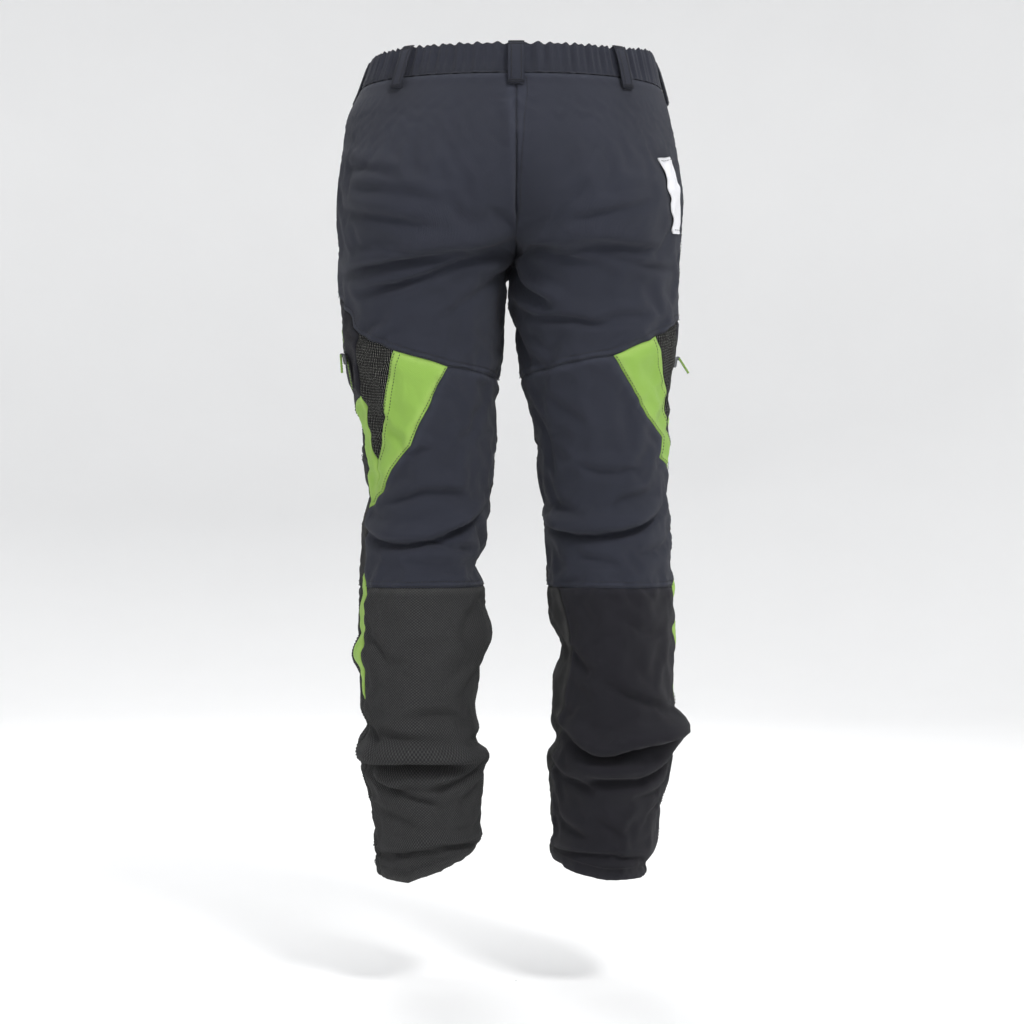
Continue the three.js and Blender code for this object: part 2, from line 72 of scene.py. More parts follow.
# Height, centre x, half width, centre y, half depth to the back and to the front of the left half.
SECTIONS = np.array([
    [0, 0, 153, 0, 110, 108],
    [-32, 0, 163, 2, 115, 112],
    [-60, 8, 167, 6, 121, 117],
    [-100, 30, 150, 11, 128, 121],
    [-150, 60, 124, 13, 133, 122],
    [-190, 80.5, 103, 12, 126, 115],
    [-215, 91.2, 90.5, 8, 115, 107],
    [-250, 93.5, 88, 4, 107, 102],
    [-316, 94, 84, 0, 101, 97],
    [-382, 94, 74, -3, 92, 90],
    [-447, 95, 68.5, -6, 85, 84],
    [-500, 99.5, 66, -8, 79, 81],
    [-562, 102.5, 67, -2, 80, 75],
    [-620, 104, 66, 3, 83, 71],
    [-690, 104.5, 64, 6, 79, 69],
    [-750, 102, 66, 6, 75, 70],
    [-810, 97.5, 58, 7, 69, 68],
    [-885, 95.5, 53, 7, 65, 68],
], float)


# ------------------------------------------------------------------ the smooth surface
def section(z, k):
    """Smooth value of column k of the sections at heights z."""
    high, low = SECTIONS[0, 0], SECTIONS[-1, 0]
    x, y = -SECTIONS[:, 0], SECTIONS[:, k]
    q = -np.clip(z, low, high)
    slope = np.empty(len(x))
    slope[1:-1] = (y[2:] - y[:-2]) / (x[2:] - x[:-2])
    slope[0] = (y[1] - y[0]) / (x[1] - x[0])
    slope[-1] = (y[-1] - y[-2]) / (x[-1] - x[-2])
    i = np.clip(np.searchsorted(x, q, side="right") - 1, 0, len(x) - 2)
    h = x[i + 1] - x[i]
    t = (q - x[i]) / h
    rise = (3 - 2 * t) * t * t
    lead = t * (1 - t) ** 2 * h * slope[i]
    trail = t * t * (1 - t) * h * slope[i + 1]
    return y[i] * (1 - rise) + y[i + 1] * rise + lead - trail


def smooth(low, high, value):
    t = np.clip((value - low) / (high - low), 0, 1)
    return t * t * (3 - 2 * t)


def bulge(v):
    return np.sign(v) * np.abs(v) ** (2 / ROUNDNESS)


# The wearer's weight is on the right leg, so the hips and thighs stand a little to the left of the feet.
LEAN = 7.0


def base(side, s, z, lean=LEAN):
    """Point of the smooth surface, before any fold."""
    s, z = np.broadcast_arrays(np.asarray(s, float), np.asarray(z, float))
    cx, rx = section(z, 1), section(z, 2)
    past = np.arcsin(np.clip(cx / rx, 0, 1) ** (ROUNDNESS / 2))
    phi = -past + s * (np.pi + 2 * past)
    depth = np.where(np.cos(phi) > 0, section(z, 4), section(z, 5))
    off_centre = smooth(0, 0.25, np.minimum(s, 1 - s))
    held = np.maximum(off_centre, smooth(-205, -240, z)) * smooth(-420, -330, z)
    held = held * (0.55 + 0.45 * smooth(0, -90, z))
    x = side * (cx + rx * bulge(np.sin(phi))) + lean * held
    y = section(z, 3) + depth * bulge(np.cos(phi))
    return np.stack([x, y, z], -1)


# ------------------------------------------------------------------ folds placed one by one
# Each crease is a line of [s, z] points, its depth, its half width and how much cloth rolls up above it.
CREASES = {
    LEFT: [
        ([[0.42, -120], [0.27, -134], [0.18, -150]], 3.8, 7, 0.7),
        ([[0.36, -148], [0.20, -160], [0.11, -174]], 3.8, 7, 0.7),
        ([[0.42, -166], [0.25, -183], [0.16, -196]], 4.0, 7, 0.7),
        ([[0.01, -203], [0.17, -214], [0.24, -222], [0.31, -228], [0.47, -236]], 9.0, 6.5, 0.8),
        ([[0.03, -208], [0.17, -224], [0.25, -242], [0.30, -250], [0.40, -257]], 7.5, 5.5, 0.6),
        ([[0.03, -226], [0.10, -246], [0.17, -270], [0.22, -290]], 2.6, 8, 0.5),
        ([[0.38, -300], [0.30, -280]], 2.4, 7, 0.6),
        ([[0.33, -308], [0.27, -294]], 2.0, 5, 0.6),
        ([[0.30, -426], [0.23, -419]], 2.4, 6, 0.6),
        ([[0.12, -400], [0.19, -410]], 1.8, 7, 0.6),
        ([[0.36, -479], [0.28, -470], [0.24, -465], [0.14, -468]], 4.2, 6, 0.8),
        ([[0.44, -505], [0.36, -516], [0.27, -518], [0.21, -512], [0.15, -500], [0.05, -484]], 9.5, 6.5, 1.1),
        ([[0.24, -519], [0.17, -523], [0.08, -528]], 4.5, 4.5, 0.4),
        ([[0.10, -500], [0.04, -520], [0.0, -545]], 3.5, 8, 0.5),
        ([[0.30, -536], [0.22, -545], [0.12, -546]], 2.4, 7, 0.5),
        ([[0.05, -585], [0.12, -600], [0.14, -625]], 2.4, 8, 0.4),
        ([[0.40, -615], [0.35, -628], [0.33, -645]], 2.2, 7, 0.4),
        ([[0.03, -655], [0.09, -668], [0.13, -690]], 3.2, 8, 0.5),
        ([[0.42, -712], [0.37, -720], [0.34, -740]], 3.6, 5, 0.7),
        ([[0.30, -705], [0.20, -700], [0.10, -709]], 2.6, 8, 0.7),
        ([[0.38, -719], [0.25, -727], [0.15, -733], [0.08, -738]], 4.4, 6, 0.8),
        ([[0.47, -757], [0.32, -752], [0.21, -751], [0.06, -754]], 12.0, 7.5, 1.2),
        ([[0.40, -767], [0.33, -776], [0.27, -775], [0.23, -781]], 6.5, 5, 0.9),
        ([[0.34, -775], [0.28, -785], [0.21, -796]], 6.0, 5, 0.8),
        ([[0.25, -781], [0.15, -769], [0.06, -757]], 7.0, 5.5, 0.9),
        ([[0.03, -775], [0.10, -784], [0.16, -800]], 3.0, 7, 0.6),
        ([[0.42, -800], [0.33, -808], [0.26, -822]], 2.6, 7, 0.6),
        ([[0.44, -854], [0.29, -848], [0.18, -841], [0.0, -843]], 6.5, 5.5, 0.9),
        ([[0.30, -859], [0.18, -851]], 3.2, 4.5, 0.6),
        ([[0.02, -818], [0.10, -826], [0.20, -824]], 3.0, 7, 0.6),
        ([[0.56, -240], [0.68, -232], [0.80, -222]], 3.0, 8, 0.6),
        ([[0.86, -214], [0.93, -226], [0.98, -244]], 4.0, 7, 0.6),
        ([[0.58, -528], [0.72, -540], [0.88, -532]], 4.0, 8, 0.7),
        ([[0.60, -715], [0.72, -726], [0.86, -720]], 4.0, 8, 0.8),
        ([[0.55, -762], [0.70, -772], [0.88, -764]], 6.0, 7, 0.9),
        ([[0.60, -812], [0.75, -822], [0.90, -814]], 4.0, 7, 0.8),
    ],
    RIGHT: [
        ([[0.01, -204], [0.11, -210], [0.16, -216], [0.26, -229]], 7.0, 5.5, 0.8),
        ([[0.10, -204], [0.24, -210], [0.36, -215]], 5.5, 6, 0.7),
        ([[0.12, -189], [0.19, -180], [0.30, -165]], 3.8, 7, 0.7),
        ([[0.16, -161], [0.30, -151]], 2.4, 7, 0.6),
        ([[0.24, -219], [0.32, -228], [0.42, -231]], 3.2, 5, 0.5),
        ([[0.28, -118], [0.36, -124]], 2.0, 8, 0.5),
        ([[0.01, -212], [0.04, -220], [0.08, -244], [0.14, -262], [0.19, -275]], 9.0, 7, 0.8),
        ([[0.05, -268], [0.13, -280], [0.20, -284], [0.28, -293]], 5.5, 6, 0.8),
        ([[0.23, -284], [0.35, -281]], 2.4, 6, 0.6),
        ([[0.01, -276], [0.06, -310], [0.09, -338]], 4.0, 7, 0.5),
        ([[0.08, -314], [0.14, -336]], 2.8, 5, 0.5),
        ([[0.04, -370], [0.09, -400], [0.10, -430]], 2.2, 9, 0.4),
        ([[0.19, -437], [0.25, -444], [0.33, -441]], 2.8, 6, 0.7),
        ([[0.24, -486], [0.29, -472], [0.37, -466]], 2.8, 6, 0.7),
        ([[0.08, -470], [0.14, -482], [0.20, -484]], 2.6, 7, 0.6),
        ([[0.0, -498], [0.13, -507], [0.20, -509], [0.25, -507], [0.32, -500], [0.43, -482]], 9.5, 6.5, 1.1),
        ([[0.17, -535], [0.24, -539], [0.27, -548]], 3.0, 5, 0.6),
        ([[0.10, -564], [0.19, -558]], 2.4, 5, 0.5),
        ([[0.30, -532], [0.40, -524], [0.46, -512]], 2.8, 7, 0.6),
        ([[0.11, -626], [0.15, -642], [0.20, -658]], 3.6, 7, 0.5),
        ([[0.02, -600], [0.07, -622], [0.08, -650]], 3.4, 8, 0.4),
        ([[0.22, -664], [0.29, -682], [0.42, -699]], 3.4, 7, 0.9),
        ([[0.26, -600], [0.34, -612], [0.42, -610]], 2.0, 9, 0.5),
        ([[0.46, -690], [0.50, -700], [0.56, -706]], 4.0, 6, 0.6),
        ([[0.10, -720], [0.18, -736], [0.24, -741], [0.31, -731], [0.52, -714]], 13.0, 7.5, 1.3),
        ([[0.02, -700], [0.07, -712], [0.11, -722]], 4.0, 6, 0.6),
        ([[0.15, -768], [0.29, -769], [0.34, -766], [0.45, -744]], 8.0, 6.5, 0.9),
        ([[0.10, -767], [0.18, -774], [0.22, -786]], 4.6, 5, 0.7),
        ([[0.01, -748], [0.07, -756], [0.12, -768]], 4.0, 6, 0.7),
        ([[0.30, -788], [0.38, -786], [0.46, -776]], 3.0, 7, 0.7),
        ([[0.07, -812], [0.21, -835]], 3.6, 6, 0.6),
        ([[0.22, -812], [0.30, -833]], 3.2, 6, 0.6),
        ([[0.36, -812], [0.44, -800]], 2.8, 6, 0.6),
        ([[0.01, -850], [0.23, -851], [0.40, -859]], 3.6, 4.5, 0.7),
        ([[0.56, -240], [0.68, -232], [0.80, -222]], 3.0, 8, 0.6),
        ([[0.86, -214], [0.93, -226], [0.98, -244]], 4.0, 7, 0.6),
        ([[0.56, -520], [0.72, -536], [0.88, -528]], 4.0, 8, 0.7),
        ([[0.60, -705], [0.74, -716], [0.88, -708]], 4.0, 8, 0.8),
        ([[0.55, -745], [0.70, -758], [0.88, -750]], 6.0, 7, 0.9),
        ([[0.60, -806], [0.75, -816], [0.90, -808]], 4.0, 7, 0.8),
    ],
}

# Places where the cloth stands out from the smooth surface or falls in: s, z, height, half length in
# millimetres of s and of z.
SWELLS = {
    LEFT: [
        (0.02, -545, -10, 50, 16), (0.02, -618, 10, 55, 22), (0.04, -700, -6, 50, 30),
        (0.04, -733, -10, 40, 8), (0.04, -752, 5, 45, 10), (0.02, -862, -5, 45, 14), (0.47, -640, 6, 45, 14),
        (0.48, -716, -8, 45, 12), (0.12, -742, 6, 40, 8), (0.48, -470, -4, 45, 20), (0.24, -485, 4, 60, 14),
        (0.24, -735, 4, 70, 12), (0.22, -690, 3, 60, 22), (0.25, -150, 4, 90, 50),
    ],
    RIGHT: [
        (0.02, -634, -12, 50, 24), (0.02, -732, -7, 40, 14), (0.47, -720, 15, 60, 15),
        (0.48, -870, -9, 55, 18), (0.03, -258, 5, 50, 20), (0.48, -60, -3, 60, 30),
        (0.24, -490, 5, 70, 12), (0.30, -708, 5, 70, 16), (0.20, -752, 4, 60, 9), (0.25, -150, 4, 90, 50),
    ],
}


def dense(line, step=6.0):
    """The line's points with more between them, no further apart than step millimetres."""
    line = np.asarray(line, float)
    out = [line[:1]]
    for p, q in zip(line[:-1], line[1:]):
        length = math.hypot((q[0] - p[0]) * GIRTH, q[1] - p[1])
        count = max(1, math.ceil(length / step - 1e-6))
        out.append(p + (q - p) * (np.arange(1, count + 1) / count)[:, None])
    return np.concatenate(out)


def curved(line, parts=6):
    """A smooth curve through the line's points."""
    p = np.asarray(line, float)
    p = np.concatenate([[2 * p[0] - p[1]], p, [2 * p[-1] - p[-2]]])
    t = np.arange(parts)[:, None] / parts
    out = [
        0.5 * (2 * b + (c - a) * t + (2 * a - 5 * b + 4 * c - d) * t**2 + (3 * b - a - 3 * c + d) * t**3)
        for a, b, c, d in zip(p[:-3], p[1:-2], p[2:-1], p[3:])
    ]
    return np.concatenate(out + [p[-2:-1]])


DROOP = 0.55  # share of a crease's depth by which the roll above it hangs down over the valley


def crease_moves(s, z, line, depth, width, roll):
    """How far the cloth moves out and down near a crease: a sharp valley under a soft, sagging roll."""
    path = curved(line)
    span = 4 * width
    near = (z < path[:, 1].max() + span) & (z > path[:, 1].min() - span)
    near &= (s > path[:, 0].min() - span / GIRTH) & (s < path[:, 0].max() + span / GIRTH)
    out, down = np.zeros(s.shape), np.zeros(s.shape)
    if not near.any():
        return out, down
    p = np.stack([s[near] * GIRTH, z[near]], -1)
    q = path * [GIRTH, 1]
    best = np.full(len(p), 1e9)
    above = np.zeros(len(p))
    along = np.zeros(len(p))
    reach = np.concatenate([[0], np.cumsum(np.linalg.norm(np.diff(q, axis=0), axis=1))])
    for i, (a, b) in enumerate(zip(q[:-1], q[1:])):
        d = b - a
        t = np.clip((p - a) @ d / (d @ d), 0, 1)
        gap = p - a - t[:, None] * d
        dist = np.linalg.norm(gap, axis=1)
        closer = dist < best
        best = np.where(closer, dist, best)
        above = np.where(closer, np.sign(gap[:, 1]) * dist, above)
        along = np.where(closer, reach[i] + t * (reach[i + 1] - reach[i]), along)
    share = along / reach[-1]
    taper = smooth(-0.05, 0.3, share) * smooth(1.05, 0.7, share)
    valley = -np.exp(-((above / width) ** 2)) * 0.75 - np.exp(-((above / (0.4 * width)) ** 2)) * 0.25
    lift = roll * np.exp(-(((above - 1.7 * width) / (1.2 * width)) ** 2))
    sag = 0.25 * np.exp(-(((above + 2.0 * width) / (1.4 * width)) ** 2))
    out[near] = depth * taper * (valley + lift + sag)
    down[near] = DROOP * depth * taper * roll * np.exp(-(((above - 1.3 * width) / (1.1 * width)) ** 2))
    return out, down


def lattice(u, v, size, seed):
    """Smooth noise from -1 to 1 with the given cell size."""
    draw = np.random.default_rng(seed)
    cells = draw.uniform(-1, 1, (97, 97))
    x, y = u / size, v / size
    i, j = np.floor(x).astype(int), np.floor(y).astype(int)
    fx, fy = smooth(0, 1, x - i), smooth(0, 1, y - j)
    i, j = i % 96, j % 96
    low = cells[i, j] * (1 - fx) + cells[i + 1, j] * fx
    high = cells[i, j + 1] * (1 - fx) + cells[i + 1, j + 1] * fx
    return low * (1 - fy) + high * fy


# ------------------------------------------------------------------ the master grid
COLUMNS = 97
ROW = 5.0
TOP_ROW = 5.0
ROWS = int((TOP_ROW - HEM) / ROW) + 3
grid_z = TOP_ROW - ROW * np.arange(ROWS)
grid_s = np.linspace(0, 1, COLUMNS)
S, Z = np.meshgrid(grid_s, grid_z)


def quads(index):
    """The four-sided faces of a grid of point numbers."""
    return np.stack([index[:-1, :-1], index[:-1, 1:], index[1:, 1:], index[1:, :-1]], -1).reshape(-1, 4)


def closed(index):
    """The grid with its first column again after its last."""
    return np.concatenate([index, index[:, :1]], 1)


def grid_normals(padded):
    across = padded[:, 2:] - padded[:, :-2]
    down = np.gradient(padded, axis=0)[:, 1:-1]
    n = np.cross(across, down)
    return n / np.maximum(np.linalg.norm(n, axis=-1, keepdims=True), 1e-9)


def pad(grids):
    """Each half's grid with one more column at both ends, taken from the cloth that it joins."""
    out = {}
    joined = (grid_z > CROTCH)[:, None]
    for side, g in grids.items():
        other = grids[-side]
        before = np.where(joined, other[:, 1], g[:, -2])
        after = np.where(joined, other[:, -2], g[:, 1])
        out[side] = np.concatenate([before[:, None], g, after[:, None]], 1)
    return out


def facing(grids):
    """Outward normals of both halves."""
    return {side: grid_normals(p) * side for side, p in pad(grids).items()}


grids = {side: base(side, S, Z) for side in (LEFT, RIGHT)}
outward = facing(grids)
for side in (LEFT, RIGHT):
    height, drop = np.zeros(S.shape), np.zeros(S.shape)
    for line, depth, width, roll in CREASES[side]:
        out, down = crease_moves(S, Z, line, depth, width, roll)
        height += out
        drop += down
    for s0, z0, tall, wide, long in SWELLS[side]:
        for turn in (-1, 0, 1):
            away = ((S - s0 + turn) * GIRTH / wide) ** 2 + ((Z - z0) / long) ** 2
            height += tall * np.exp(-away)
    drape = lattice(S * GIRTH, Z * 0.7, 34, 3 + side) + 0.5 * lattice(S * GIRTH, Z, 15, 9 + side)
    quiet = smooth(-30, -80, Z) * (0.35 + 0.65 * smooth(-180, -460, Z))
    edge = smooth(0, 0.06, np.minimum(S, 1 - S))
    height += 0.9 * drape * quiet * edge
    height *= smooth(-28, -60, Z)
    grids[side] = grids[side] + outward[side] * height[..., None]
    grids[side][..., 2] -= drop * smooth(-28, -60, Z) * smooth(-884, -850, Z)
# The two halves share their centre seam, and each leg closes on its own inseam.
joined = (grid_z > CROTCH)[:, None]
for column in (0, -1):
    middle = (grids[LEFT][:, column] + grids[RIGHT][:, column]) / 2
    for side in (LEFT, RIGHT):
        grids[side][:, column] = np.where(joined, middle, grids[side][:, column])
for side in (LEFT, RIGHT):
    inseam = (grids[side][:, 0] + grids[side][:, -1]) / 2
    for column in (0, -1):
        grids[side][:, column] = np.where(joined, grids[side][:, column], inseam)


# ------------------------------------------------------------------ cloth simulation
SIM_FRAMES = 22
SPARE = 0.03  # how much longer the cloth is cut than the shape it is pinned to


def simulate(grids):
    """The grids after the cloth, cut a little too long, has settled against its soft pins."""
    number = {side: np.arange(ROWS * COLUMNS).reshape(ROWS, COLUMNS) for side in (LEFT, RIGHT)}
    number[RIGHT] = number[RIGHT] + ROWS * COLUMNS
    up = grid_z > CROTCH
    for column in (0, -1):
        number[RIGHT][up, column] = number[LEFT][up, column]
    for side in (LEFT, RIGHT):
        number[side][~up, -1] = number[side][~up, 0]
    used, place = np.unique(np.concatenate([number[s].ravel() for s in (LEFT, RIGHT)]), return_inverse=True)
    every = np.concatenate([grids[LEFT].reshape(-1, 3), grids[RIGHT].reshape(-1, 3)])
    heights = np.concatenate([Z.ravel(), Z.ravel()])
    ids = {LEFT: place[: ROWS * COLUMNS].reshape(ROWS, COLUMNS)}
    ids[RIGHT] = place[ROWS * COLUMNS:].reshape(ROWS, COLUMNS)
    faces = []
    for side in (LEFT, RIGHT):
        cells = quads(ids[side])
        faces += (cells if side == LEFT else cells[:, ::-1]).tolist()
    mesh = bpy.data.meshes.new("drape")
    mesh.from_pydata((every[used] * MM).tolist(), [], faces)
    ob = bpy.data.objects.new("drape", mesh)
    bpy.context.scene.collection.objects.link(ob)
    pins = ob.vertex_groups.new(name="pins")
    z = heights[used]
    hold = 0.16 + 0.84 * smooth(-70, -38, z) + 0.25 * smooth(-150, -80, z) + 0.2 * smooth(-866, -884, z)
    for level in np.unique(np.round(np.clip(hold, 0, 1), 2)):
        where = np.nonzero(np.round(np.clip(hold, 0, 1), 2) == level)[0]
        pins.add(where.tolist(), float(level), "REPLACE")
    cloth = ob.modifiers.new("cloth", "CLOTH")
    settings = cloth.settings
    settings.quality = 5
    settings.mass = 0.25
    settings.tension_stiffness = settings.compression_stiffness = 25
    settings.shear_stiffness = 8
    settings.bending_stiffness = 4
    settings.tension_damping = settings.compression_damping = settings.shear_damping = 12
    settings.bending_damping = 1.5
    settings.air_damping = 3
    settings.vertex_group_mass = "pins"
    settings.pin_stiffness = 3
    settings.shrink_min = -SPARE
    settings.effector_weights.gravity = 0.4
    cloth.point_cache.frame_start, cloth.point_cache.frame_end = 1, SIM_FRAMES
    cloth.collision_settings.use_self_collision = False
    for number_of_frame in range(1, SIM_FRAMES + 1):
        bpy.context.scene.frame_set(number_of_frame)
    seen = ob.evaluated_get(bpy.context.evaluated_depsgraph_get())
    flat = np.empty(len(used) * 3, np.float32)
    seen.data.vertices.foreach_get("co", flat)
    settled = flat.reshape(-1, 3).astype(float) / MM
    bpy.data.objects.remove(ob)
    bpy.data.meshes.remove(mesh)
    bpy.context.scene.frame_set(1)
    return {side: settled[ids[side]] for side in (LEFT, RIGHT)}


MOST_MOVE = 9.0  # the simulation may move a point of the cloth this far
before = grids
after = simulate(grids)
grids = {}
for side in (LEFT, RIGHT):
    move = after[side] - before[side]
    reach = np.linalg.norm(move, axis=-1, keepdims=True)
    print("cloth moved", NAMES[side], float(reach.mean()), float(reach.max()))
    move *= np.minimum(1, MOST_MOVE / np.maximum(reach, 1e-6))
    move *= smooth(-34, -60, Z)[..., None]
    grids[side] = before[side] + move

padded = pad(grids)
normals = pad(facing(grids))


def patch(rows, columns, low=0):
    """Two grids of parameters: b from 0 to 1 over the rows, a from low to 1 over the columns."""
    return np.meshgrid(np.linspace(0, 1, rows), np.linspace(low, 1, columns), indexing="ij")


def all_round(a, z, offset):
    """Points of both halves' cloth: a runs from the right half's front at -1 to the left half's at 1."""
    s = np.abs(a)
    return np.where((a >= 0)[..., None], at(LEFT, s, z, offset), at(RIGHT, s, z, offset))


def spline_weights(t):
    return np.stack([
        -0.5 * t**3 + t**2 - 0.5 * t,
        1.5 * t**3 - 2.5 * t**2 + 1,
        -1.5 * t**3 + 2 * t**2 + 0.5 * t,
        0.5 * t**3 - 0.5 * t**2,
    ])


def sample(table, s, z):
    """Value of a padded grid at (s, z), by a smooth spline in both directions."""
    column = np.clip(np.asarray(s, float), 0, 1) * (COLUMNS - 1)
    row = np.clip((TOP_ROW - np.asarray(z, float)) / ROW, 1, ROWS - 3)
    i = np.minimum(np.floor(column).astype(int), COLUMNS - 2)
    j = np.floor(row).astype(int)
    wi, wj = spline_weights(column - i), spline_weights(row - j)
    out = 0
    for a in range(4):
        for b in range(4):
            out = out + table[np.clip(j + b - 1, 0, ROWS - 1), i + a] * (wi[a] * wj[b])[..., None]
    return out


def at(side, s, z, offset=0.0):
    """Point of the folded cloth, offset millimetres out from its outer face."""
    s, z, offset = np.broadcast_arrays(np.asarray(s, float), np.asarray(z, float), np.asarray(offset, float))
    n = sample(normals[side], s, z)
    n /= np.maximum(np.linalg.norm(n, axis=-1, keepdims=True), 1e-9)
    return sample(padded[side], s, z) + n * offset[..., None]


# ------------------------------------------------------------------ materials
def shade(rgb, factor):
    return linear([min(255, c * factor) for c in rgb])


def linear(rgb):
    return [((c / 255 + 0.055) / 1.055) ** 2.4 if c > 10 else c / 255 / 12.92 for c in rgb] + [1.0]


class Graph:
    """A material's node tree, built up with short calls."""

    def __init__(self, name):
        self.material = bpy.data.materials.new(name)
        self.material.use_nodes = True
        self.tree = self.material.node_tree
        self.shader = self.tree.nodes["Principled BSDF"]

    def node(self, kind, **values):
        node = self.tree.nodes.new("ShaderNode" + kind)
        for key, value in values.items():
            setattr(node, key, value)
        return node

    def feed(self, socket, value):
        if isinstance(value, bpy.types.NodeSocket):
            self.tree.links.new(value, socket)
        else:
            socket.default_value = value

    def math(self, operation, a, b=0.0):
        node = self.node("Math", operation=operation)
        self.feed(node.inputs[0], a)
        self.feed(node.inputs[1], b)
        return node.outputs[0]

    def times(self, a, b):
        return self.math("MULTIPLY", a, b)

    def plus(self, a, b):
        return self.math("ADD", a, b)

    def noise(self, scale, detail=2.0):
        node = self.node("TexNoise")
        self.feed(node.inputs["Vector"], self.node("TexCoord").outputs["Object"])
        node.inputs["Scale"].default_value = scale
        node.inputs["Detail"].default_value = detail
        return node.outputs["Fac"]

    def blend(self, factor, a, b):
        node = self.node("Mix", data_type="RGBA")
        self.feed(node.inputs[0], factor)
        self.feed(node.inputs[6], a)
        self.feed(node.inputs[7], b)
        return node.outputs[2]

    def cut(self):
        """The two directions along the cloth, in millimetres."""
        node = self.node("SeparateXYZ")
        self.feed(node.inputs[0], self.node("UVMap", uv_map="cut").outputs[0])
        return self.times(node.outputs[0], 1000.0), self.times(node.outputs[1], 1000.0)

    def wave(self, value, period):
        return self.math("SINE", self.times(value, 2 * math.pi / period))

    def bump(self, height, distance, strength=1.0):
        node = self.node("Bump")
        node.inputs["Distance"].default_value = distance
        node.inputs["Strength"].default_value = strength
        self.feed(node.inputs["Height"], height)
        self.tree.links.new(node.outputs[0], self.shader.inputs["Normal"])

    def worn(self, colour, worn_colour, share=0.5):
        """Mix in a lighter colour where the wear attribute is set, which is along the seams of the sewn
        panels.
        """
        wear = self.node("Attribute", attribute_name="wear").outputs["Fac"]
        patchy = self.times(wear, self.plus(self.noise(180.0, 4.0), 0.2))
        return self.blend(self.times(patchy, share), colour, worn_colour)


def twill(name, rgb, light, roughness=0.82, period=1.1, depth=0.00012, sheen=0.05):
    """Smooth stretch twill: fine diagonal ribs, soft mottling and lighter seams."""
    g = Graph(name)
    u, v = g.cut()
    rib = g.wave(g.plus(u, g.times(v, 0.6)), period)
    cross = g.wave(g.math("SUBTRACT", u, v), period * 0.7)
    weave = g.plus(rib, g.times(cross, 0.5))
    fibre = g.noise(1400.0, 3.0)
    mottled = g.blend(g.noise(16.0, 3.0), shade(rgb, 0.9), shade(rgb, 1.1))
    ribbed = g.blend(g.plus(g.times(weave, 0.09), 0.1), mottled, linear(light))
    g.feed(g.shader.inputs["Base Color"], g.worn(ribbed, linear(light), 0.55))
    g.feed(g.shader.inputs["Roughness"], g.plus(g.times(fibre, 0.16), roughness - 0.08))
    g.shader.inputs["Sheen Weight"].default_value = sheen
    g.shader.inputs["Sheen Roughness"].default_value = 0.5
    g.shader.inputs["Specular IOR Level"].default_value = 0.25
    g.bump(g.plus(weave, g.times(fibre, 1.2)), depth)
    return g.material


def ripstop(name, dark, fleck, period=2.9):
    """Coarse cut-resistant weave: small raised beads in straight rows, with pale flecks on them."""
    g = Graph(name)
    u, v = g.cut()
    bead = g.times(g.wave(u, period), g.wave(v, period))
    grain = g.noise(760.0, 5.0)
    raised = g.plus(g.times(bead, 0.5), 0.35)
    mask = g.times(g.times(g.math("MAXIMUM", raised, 0.0), grain), 0.75)
    ground = g.blend(g.noise(20.0, 3.0), shade(dark, 0.85), shade(dark, 1.12))
    flecked = g.blend(mask, ground, linear(fleck))
    g.feed(g.shader.inputs["Base Color"], g.worn(flecked, linear(fleck), 0.2))
    g.shader.inputs["Roughness"].default_value = 0.93
    g.shader.inputs["Specular IOR Level"].default_value = 0.2
    g.bump(g.plus(bead, g.times(grain, 1.5)), 0.0004)
    return g.material


def knit(name, dark, dot, period=3.8):
    """Open vent knit: rows of holes painted pale, partly the colour of a paler layer behind and partly
    painted highlight.
    """
    g = Graph(name)
    u, v = g.cut()
    one = g.wave(g.plus(u, g.times(v, 1.2)), period)
    two = g.wave(g.math("SUBTRACT", u, g.times(v, 1.2)), period)
    hole = g.math("GREATER_THAN", g.times(one, two), 0.55)
    # The holes are painted pale: partly the paler backing's colour, partly painted highlight.
    pale_backing_and_highlight = g.times(hole, g.times(g.noise(300.0, 2.0), 0.8))
    g.feed(g.shader.inputs["Base Color"], g.blend(pale_backing_and_highlight, linear(dark), linear(dot)))
    g.shader.inputs["Roughness"].default_value = 0.9
    g.shader.inputs["Specular IOR Level"].default_value = 0.15
    g.bump(g.plus(g.times(hole, -1.5), g.times(one, two)), 0.0006)
    return g.material


def woven(name, rgb, light, period=2.0, roughness=0.85, depth=0.0002):
    """Plain open weave for linings, tapes, elastic and the label."""
    g = Graph(name)
    place = g.node("SeparateXYZ")
    g.feed(place.inputs[0], g.node("TexCoord").outputs["Object"])
    across = g.times(g.plus(place.outputs[0], place.outputs[1]), 1000.0)
    along = g.times(place.outputs[2], 1000.0)
    weave = g.times(g.wave(across, period), g.wave(along, period))
    fibre = g.noise(900.0, 3.0)
    tone = g.plus(g.times(weave, 0.25), g.times(fibre, 0.5))
    g.feed(g.shader.inputs["Base Color"], g.blend(tone, linear(rgb), linear(light)))
    g.shader.inputs["Roughness"].default_value = roughness
    g.bump(g.plus(weave, fibre), depth)
    return g.material


def plain(name, rgb, roughness, metallic=0.0):
    """Moulded plastic or cast metal with a faint grain and scuffs."""
    g = Graph(name)
    grain = g.noise(900.0, 5.0)
    g.feed(g.shader.inputs["Base Color"], g.blend(grain, shade(rgb, 0.8), linear(rgb)))
    g.feed(g.shader.inputs["Roughness"], g.plus(g.times(grain, 0.25), roughness - 0.1))
    g.shader.inputs["Metallic"].default_value = metallic
    g.bump(grain, 0.00005)
    return g.material


